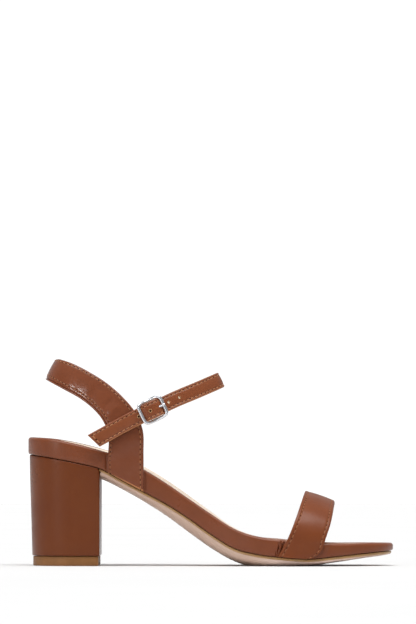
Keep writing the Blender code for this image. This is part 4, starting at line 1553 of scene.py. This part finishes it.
    def mesh(self) -> Mesh:
        """Builds the strap and picks out its cut and its fold.

        Returns:
            The mesh with a raw cut at its free end, and painted light along its lower edge, where the cover's
            last strips take the lighter edge finish.
        """
        mesh = super().mesh()
        mesh.finish[-2] = StrapFace.CUT.value
        strips = self.strips(mesh)
        # Painted light: the cover's strips along the lower fold take the lighter edge finish
        fold = strips - self.edge_strips() - np.arange(1, self.painted_light_fold + 1)
        for k in range(self.count - 1):
            for i in fold:
                mesh.finish[k * strips + i] = StrapFace.EDGE.value
        return mesh

    def plug(self) -> None:
        """Sets a dark disc of painted shade low in each hole over the tab and the bar, and a pale cut rim
        round it.
        """
        spin = np.linspace(0.0, 2 * np.pi, self.rim_steps, endpoint=False)[:, None]
        parts = []
        for place in map(self.place, self.hole_runs[:self.plugged_holes]):
            top = place.middle + place.outward * (self.hump(place.run) + self.wall / 2 + self.crown)
            disc = top - place.outward * np.array([[self.plug_depth + self.plug_wall], [self.plug_depth]])
            parts.append(self.hole_bar(disc))
            circle = top + (place.along * np.cos(spin) + place.width * np.sin(spin)) * self.hole_radius
            rim = tube_mesh(circle, self.rim_wire, place.outward, self.rim_sides, closed=True)
            parts.append(rim.dressed(1))
        self.shop.piece("strap_hole_ends", joined(parts), [PUNCHED_HOLE_SHADE, CUT_EDGE], self.slot)

    def hole_bar(self, path: Array) -> Mesh:
        """Round bar of a hole's width along a path."""
        return tube_mesh(path, self.hole_radius, np.array(self.aside), self.hole_sides)

    def punch(self, piece: bpy.types.Object, prong: Array) -> None:
        """Punches the strap holes through the piece.

        Args:
            piece: the strap.
            prong: two places on the prong's middle, in shoe millimetres.
        """
        below, above = self.punch_reach
        paths = [prong]
        for place in map(self.place, self.hole_runs):
            paths.append(place.middle + place.outward * np.array([[-below], [above]]))
        cutter = self.shop.solid("punch", joined([self.hole_bar(path) for path in paths]), [CUT_EDGE])
        cut = piece.modifiers.new("holes", "BOOLEAN")
        cut.operation = "DIFFERENCE"
        cut.solver = "EXACT"
        cut.object = cutter
        graph = bpy.context.evaluated_depsgraph_get()
        done = bpy.data.meshes.new_from_object(piece.evaluated_get(graph))
        piece.modifiers.remove(cut)
        piece.data = done
        bpy.data.objects.remove(cutter)


@dataclass
class Buckle:
    """Bowed buckle frame, its middle bar and prong, and the tab that holds it."""

    shop: Workshop
    strap: AnkleBand
    half_run: float = 7.6
    half_across: float = 6.5
    squareness: float = 6.0
    wire: float = 1.05
    wire_flatness: float = 0.8
    bar_wire: float = 0.72
    prong_wire: float = 0.74
    # Radius of the wire and the prong in the solids, which set the room between the bars and the strap
    solid_wire: float = 0.75
    solid_prong: float = 0.6
    overhang: float = 0.75
    tip_round: float = 0.6
    tip_share: float = 0.06
    # Angle at which the wire of the prong's eye starts
    eye_start_deg: float = -60.0
    # Ends of the prong's own hole through the strap, from the buckle's middle
    hole_span: tuple[float, float] = (-0.4, 6.2)
    gap: float = 0.3
    trace_steps: int = 2881
    frame_steps: int = 220
    bar_steps: int = 12
    eye_steps: int = 40
    needle_steps: int = 24
    frame_sides: int = 20
    bar_sides: int = 16
    first_slope: float = 0.35
    rounds: int = 20
    tab_wall: float = 1.6
    tab_radius: float = 1.95
    tab_bore: float = 1.05
    tab_half: float = 4.2
    tab_steps: int = 40
    # Half of the gap between the two plies of the tab
    ply_gap: float = 0.02
    slot_width: float = 2.0
    # Piece that closes the slot behind the bar: its half width, and the step of the path where it starts
    bridge_half: float = 1.1
    bridge_start: int = 6
    tab_sharp_deg: float = 40.0
    tab_path: tuple[tuple[float, float, float], ...] = (
        (-1.0, 0.0, -1.0), (-4.0, 0.0, -3.1), (-8.5, 0.0, -6.1), (-17.0, 0.0, -9.3),
    )

    def __post_init__(self) -> None:
        """Works out where the bars lie over and under the strap."""
        wire, prong = self.solid_wire, self.solid_prong
        self.bar_out = self.strap.wall / 2 + float(self.strap.hump(self.half_run)) + self.gap + wire
        self.eye = wire + self.gap + prong
        self.middle_out = self.strap.hump_height - self.strap.wall / 2 - self.gap - self.eye - prong
        self.rest_out = self.bar_out + wire + self.gap + prong
        slope = self.first_slope
        for _ in range(self.rounds):
            turn = math.atan(slope)
            leave = (-self.eye * math.sin(turn), self.middle_out + self.eye * math.cos(turn))
            slope = (self.rest_out - leave[1]) / (self.half_run - leave[0])
        self.slope, self.leave = slope, leave
        self.matrix = self.strap.buckle_matrix()

    def placed(self, mesh: Mesh) -> Mesh:
        """A mesh moved from the buckle's frame to the shoe."""
        turn = np.array(self.matrix.to_3x3())
        return mesh._replace(points=mesh.points @ turn.T + np.array(self.matrix.translation))

    def prong_out(self, run: float) -> float:
        """How far out the middle of the prong is at a run along the strap."""
        return self.leave[1] + self.slope * (run - self.leave[0])

    def prong_hole(self) -> Array:
        """Ends of the prong's hole, in shoe millimetres."""
        return np.array([self.matrix @ Vector((run, 0.0, self.prong_out(run))) for run in self.hole_span])

    def frame_path(self) -> Array:
        """Works out the wire of the frame.

        Returns:
            Points of a rounded rectangle, bowed so that its ends stand over the strap.
        """
        t = np.linspace(0.0, 2 * np.pi, self.trace_steps)
        power = 2.0 / self.squareness
        run = np.sign(np.cos(t)) * np.abs(np.cos(t)) ** power * self.half_run
        across = np.sign(np.sin(t)) * np.abs(np.sin(t)) ** power * self.half_across
        length = np.concatenate([[0.0], np.cumsum(np.hypot(np.diff(run), np.diff(across)))])
        even = np.linspace(0.0, length[-1], self.frame_steps, endpoint=False)
        run, across = np.interp(even, length, run), np.interp(even, length, across)
        bow = (1.0 - np.cos(np.pi * np.clip(np.abs(run) / self.half_run, 0.0, 1.0))) / 2
        return np.column_stack([run, across, self.middle_out + (self.bar_out - self.middle_out) * bow])

    def build(self) -> None:
        """Builds the frame, the prong and the tab."""
        out, across = np.array([0.0, 0.0, 1.0]), np.array([0.0, 1.0, 0.0])
        rim = tube_mesh(self.frame_path(), self.wire, out, self.frame_sides, closed=True,
                        squash=self.wire_flatness)
        bar_y = np.linspace(-self.half_across, self.half_across, self.bar_steps)
        bar_path = np.array([(0.0, y, self.middle_out) for y in bar_y])
        bar = tube_mesh(bar_path, self.bar_wire, out, self.bar_sides)
        self.shop.piece("buckle_wire_frame", self.placed(joined([rim, bar])), [NICKEL],
                        "buckle_metal", "buckle_frame")
        path = self.prong_path()
        left = np.clip((self.half_run + self.overhang - path[:, 0]) / self.tip_round, 0.0, 1.0)
        radius = self.prong_wire * np.sqrt(np.clip(1 - (1 - left) ** 2, self.tip_share, 1.0))
        prong = tube_mesh(path, radius, across, self.bar_sides)
        self.shop.piece("buckle_pin", self.placed(prong), [NICKEL], "prong_metal", "buckle_prong")
        self.shop.piece("buckle_tab", self.placed(self.tab_mesh()), [STRAP_LEATHER, FOLDED_EDGE, LINING],
                        "buckle_tab", "buckle_loop", sharp_deg=self.tab_sharp_deg)

    def prong_path(self) -> Array:
        """Works out the wire of the prong.

        Returns:
            Points of an eye round the middle bar, then straight over the end of the frame.
        """
        # The eye ends above the bar, where the straight part leaves it
        stop = math.radians(-270.0) + math.atan(self.slope)
        angles = np.linspace(math.radians(self.eye_start_deg), stop, self.eye_steps)
        eye = [(self.eye * math.cos(a), 0.0, self.middle_out + self.eye * math.sin(a)) for a in angles]
        runs = np.linspace(self.leave[0], self.half_run + self.overhang, self.needle_steps)[1:]
        return np.array(eye + [(run, 0.0, self.prong_out(run)) for run in runs])

    def tab_mesh(self) -> Mesh:
        """Builds the doubled tab round the middle bar, slotted for the prong.

        Returns:
            The mesh, with leather outside, inked edges and lining in the bore.
        """
        leather, edge, lining = 0, 1, 2
        path = resample(self.tab_path, self.tab_steps)
        along = unit(np.gradient(path, axis=0))
        normal = np.column_stack([-along[:, 2], np.zeros(len(path)), along[:, 0]])
        over, under = path - normal * self.tab_wall / 2, path + normal * self.tab_wall / 2
        centre = np.array([0.0, 0.0, self.middle_out])
        start, stop = (math.atan2(face[0][2] - centre[2], face[0][0]) for face in (over, under))
        stop -= 2 * math.pi if stop > start else 0.0
        turn = np.linspace(start, stop, self.tab_steps)
        circle = np.column_stack([np.cos(turn), np.zeros(self.tab_steps), np.sin(turn)])
        outer = np.concatenate([over[:0:-1], centre + circle * self.tab_radius, under[1:]])
        inner = np.concatenate([path[:0:-1] - normal[:0:-1] * self.ply_gap, centre + circle * self.tab_bore,
                                path[1:] + normal[1:] * self.ply_gap])
        half, slot, bridge = self.tab_half, self.slot_width / 2, self.bridge_half
        back = slice(self.bridge_start, None)
        parts = [(inner, outer, -half, -slot, lining), (inner, outer, slot, half, lining),
                 (over[back], under[back], -bridge, bridge, leather)]
        plies = []
        for near, far, low, high, inside in parts:
            corners = ((near, low), (near, high), (far, high), (far, low))
            ring = [face + [0.0, y, 0.0] for face, y in corners]
            plies.append(ring_mesh(np.stack(ring, axis=1), [inside, edge, leather, edge], cap=edge))
        return joined(plies)


class SoftBox(NamedTuple):
    """A soft light in the room: its direction, its half sizes as shares of the distance, and its level."""

    name: str
    direction: tuple[float, float, float]
    half_size: tuple[float, float, float]
    level: float


@dataclass
class Studio:
    """White floor, soft studio light and the camera at the photograph's angle."""

    shop: Workshop
    image: tuple[int, int] = (416, 624)
    mm_per_pixel: float = 0.62
    heel_column: float = 27.2
    floor_row: float = 565.5
    distance: float = 2500.0
    height: float = 40.0
    near_plane: float = -20.0
    sensor: float = 36.0
    clip_end: float = 200.0
    floor_reach: float = 60.0
    backdrop_level: float = 1.1
    back_level: float = 0.5
    front_level: float = 0.18
    dome_level: float = 0.5
    # Where the light changes from the front wall to the backdrop, and from the walls to the dome
    wall_span: tuple[float, float] = (-0.45, 0.15)
    dome_span: tuple[float, float] = (0.35, 0.75)
    # Soft edge of a light, as shares of its half size from dark to full
    box_edge: tuple[float, float] = (1.25, 0.75)
    boxes: tuple[SoftBox, ...] = (
        SoftBox("overhead", (0.0, -0.3, 0.954), (0.5, 0.28, 1.0), 7.2),
        SoftBox("left_front", (-0.62, -0.76, 0.22), (0.065, 0.08, 0.06), 30.0),
    )

    def build_camera(self) -> None:
        """Sets the camera low beside the shoe, aimed at the middle of the picture."""
        column, row = self.image[0] / 2, self.image[1] / 2
        x = (column - self.heel_column) * self.mm_per_pixel
        aim = Vector(self.shop.world([x, self.near_plane, (self.floor_row - row) * self.mm_per_pixel]))
        data = bpy.data.cameras.new("photo_camera")
        camera = bpy.data.objects.new("photo_camera", data)
        bpy.context.scene.collection.objects.link(camera)
        camera.location = Vector(self.shop.world([x, -self.distance, self.height]))
        view = aim - camera.location
        camera.rotation_euler = view.to_track_quat("-Z", "Y").to_euler()
        data.sensor_width = self.sensor
        data.lens = view.length / (self.mm_per_pixel * MM) * self.sensor / self.image[1]
        data.clip_end = self.clip_end
        bpy.context.scene.camera = camera

    def build_light(self) -> None:
        """Sets a soft dome and soft boxes in a room with a white backdrop, dimmer behind the camera."""
        scene = bpy.context.scene
        world = bpy.data.worlds.new("studio_room")
        world.use_nodes = True
        scene.world = world
        tree = world.node_tree
        sky = tree.nodes["Background"]
        sky.inputs["Color"].default_value = (1.0, 1.0, 1.0, 1.0)
        look = add_node(tree, "ShaderNodeTexCoord", {}).outputs["Generated"]
        way = add_node(tree, "ShaderNodeSeparateXYZ", {"Vector": look})
        wall = add_node(tree, "ShaderNodeMapRange", {
            "Value": way.outputs["Y"], "From Min": self.wall_span[0], "From Max": self.wall_span[1],
            "To Min": self.front_level, "To Max": self.back_level}, interpolation_type="SMOOTHSTEP")
        dome = add_node(tree, "ShaderNodeMapRange", {
            "Value": way.outputs["Z"], "From Min": self.dome_span[0], "From Max": self.dome_span[1],
            "To Min": wall.outputs["Result"], "To Max": self.dome_level}, interpolation_type="SMOOTHSTEP")
        level = dome.outputs["Result"]
        for box in self.boxes:
            away = add_node(tree, "ShaderNodeVectorMath", {0: look, 1: box.direction}, operation="SUBTRACT")
            sized = add_node(tree, "ShaderNodeVectorMath", {0: away.outputs["Vector"], 1: box.half_size},
                             operation="DIVIDE")
            reach = add_node(tree, "ShaderNodeVectorMath", {0: sized.outputs["Vector"]}, operation="LENGTH")
            glow = add_node(tree, "ShaderNodeMapRange", {
                "Value": reach.outputs["Value"], "From Min": self.box_edge[0], "From Max": self.box_edge[1],
                "To Max": box.level}, interpolation_type="SMOOTHSTEP", label=box.name)
            level = add_node(tree, "ShaderNodeMath", {0: level, 1: glow.outputs["Result"]},
                             operation="ADD").outputs["Value"]
        seen = add_node(tree, "ShaderNodeLightPath", {}).outputs["Is Camera Ray"]
        shown = add_node(tree, "ShaderNodeMix", {"Factor": seen, "A": level, "B": self.backdrop_level})
        tree.links.new(shown.outputs["Result"], sky.inputs["Strength"])
        scene.view_settings.view_transform = "Standard"
        scene.view_settings.look = "None"

    def build_floor(self) -> None:
        """Lays the plain floor."""
        reach = self.floor_reach
        data = bpy.data.meshes.new("floor")
        corners = [(-reach, -reach, 0.0), (reach, -reach, 0.0), (reach, reach, 0.0), (-reach, reach, 0.0)]
        data.from_pydata(corners, [], [(0, 1, 2, 3)])
        data.materials.append(FLOOR_PAPER.material())
        floor = bpy.data.objects.new("floor", data)
        bpy.context.scene.collection.objects.link(floor)


def main() -> None:
    """Builds the sandal piece by piece, then the studio."""
    logging.basicConfig(level=logging.INFO, format="%(name)s: %(message)s")
    low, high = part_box("footbed")
    shop = Workshop(heel_back=low[0])
    last = Last(length=(high[0] - low[0]) / MM)
    Footbed(last, shop).build()
    Outsole(last, shop).build()
    BlockHeel(last, shop).build()
    toe = ToeBand(last, shop, "toe_band", "toe_strap", count=260, stitch_insets=(2.3, 2.2),
                  stitch_pitches=(3.19, 3.19), threads=(DARK_THREAD, DARK_THREAD))
    toe.build("toe_strap")
    back = BackStrap(last, shop, "back_strap", "strap", count=380, stitch_insets=(3.3, 1.6),
                     stitch_pitches=(2.66, 3.12), ply_insets=(1.2, 0.0), groove=0.16, bead=0.04,
                     leather=BACK_LEATHER, threads=(DARK_THREAD, THREAD))
    back.build("back_and_ankle_strap")
    ankle = AnkleBand(last, shop, "ankle_band", "strap", wall=1.8, count=420, middle_steps=6,
                      stitch_insets=(1.6, 1.6), stitch_pitches=(3.0, 3.0), crown=0.2, leather=ANKLE_LEATHER_LIT,
                      threads=(PALE_THREAD, PALE_THREAD))
    band = ankle.build()
    buckle = Buckle(shop, ankle)
    ankle.punch(band, buckle.prong_hole())
    ankle.plug()
    buckle.build()
    studio = Studio(shop)
    studio.build_camera()
    studio.build_light()
    studio.build_floor()


if __name__ == "__main__":
    main()
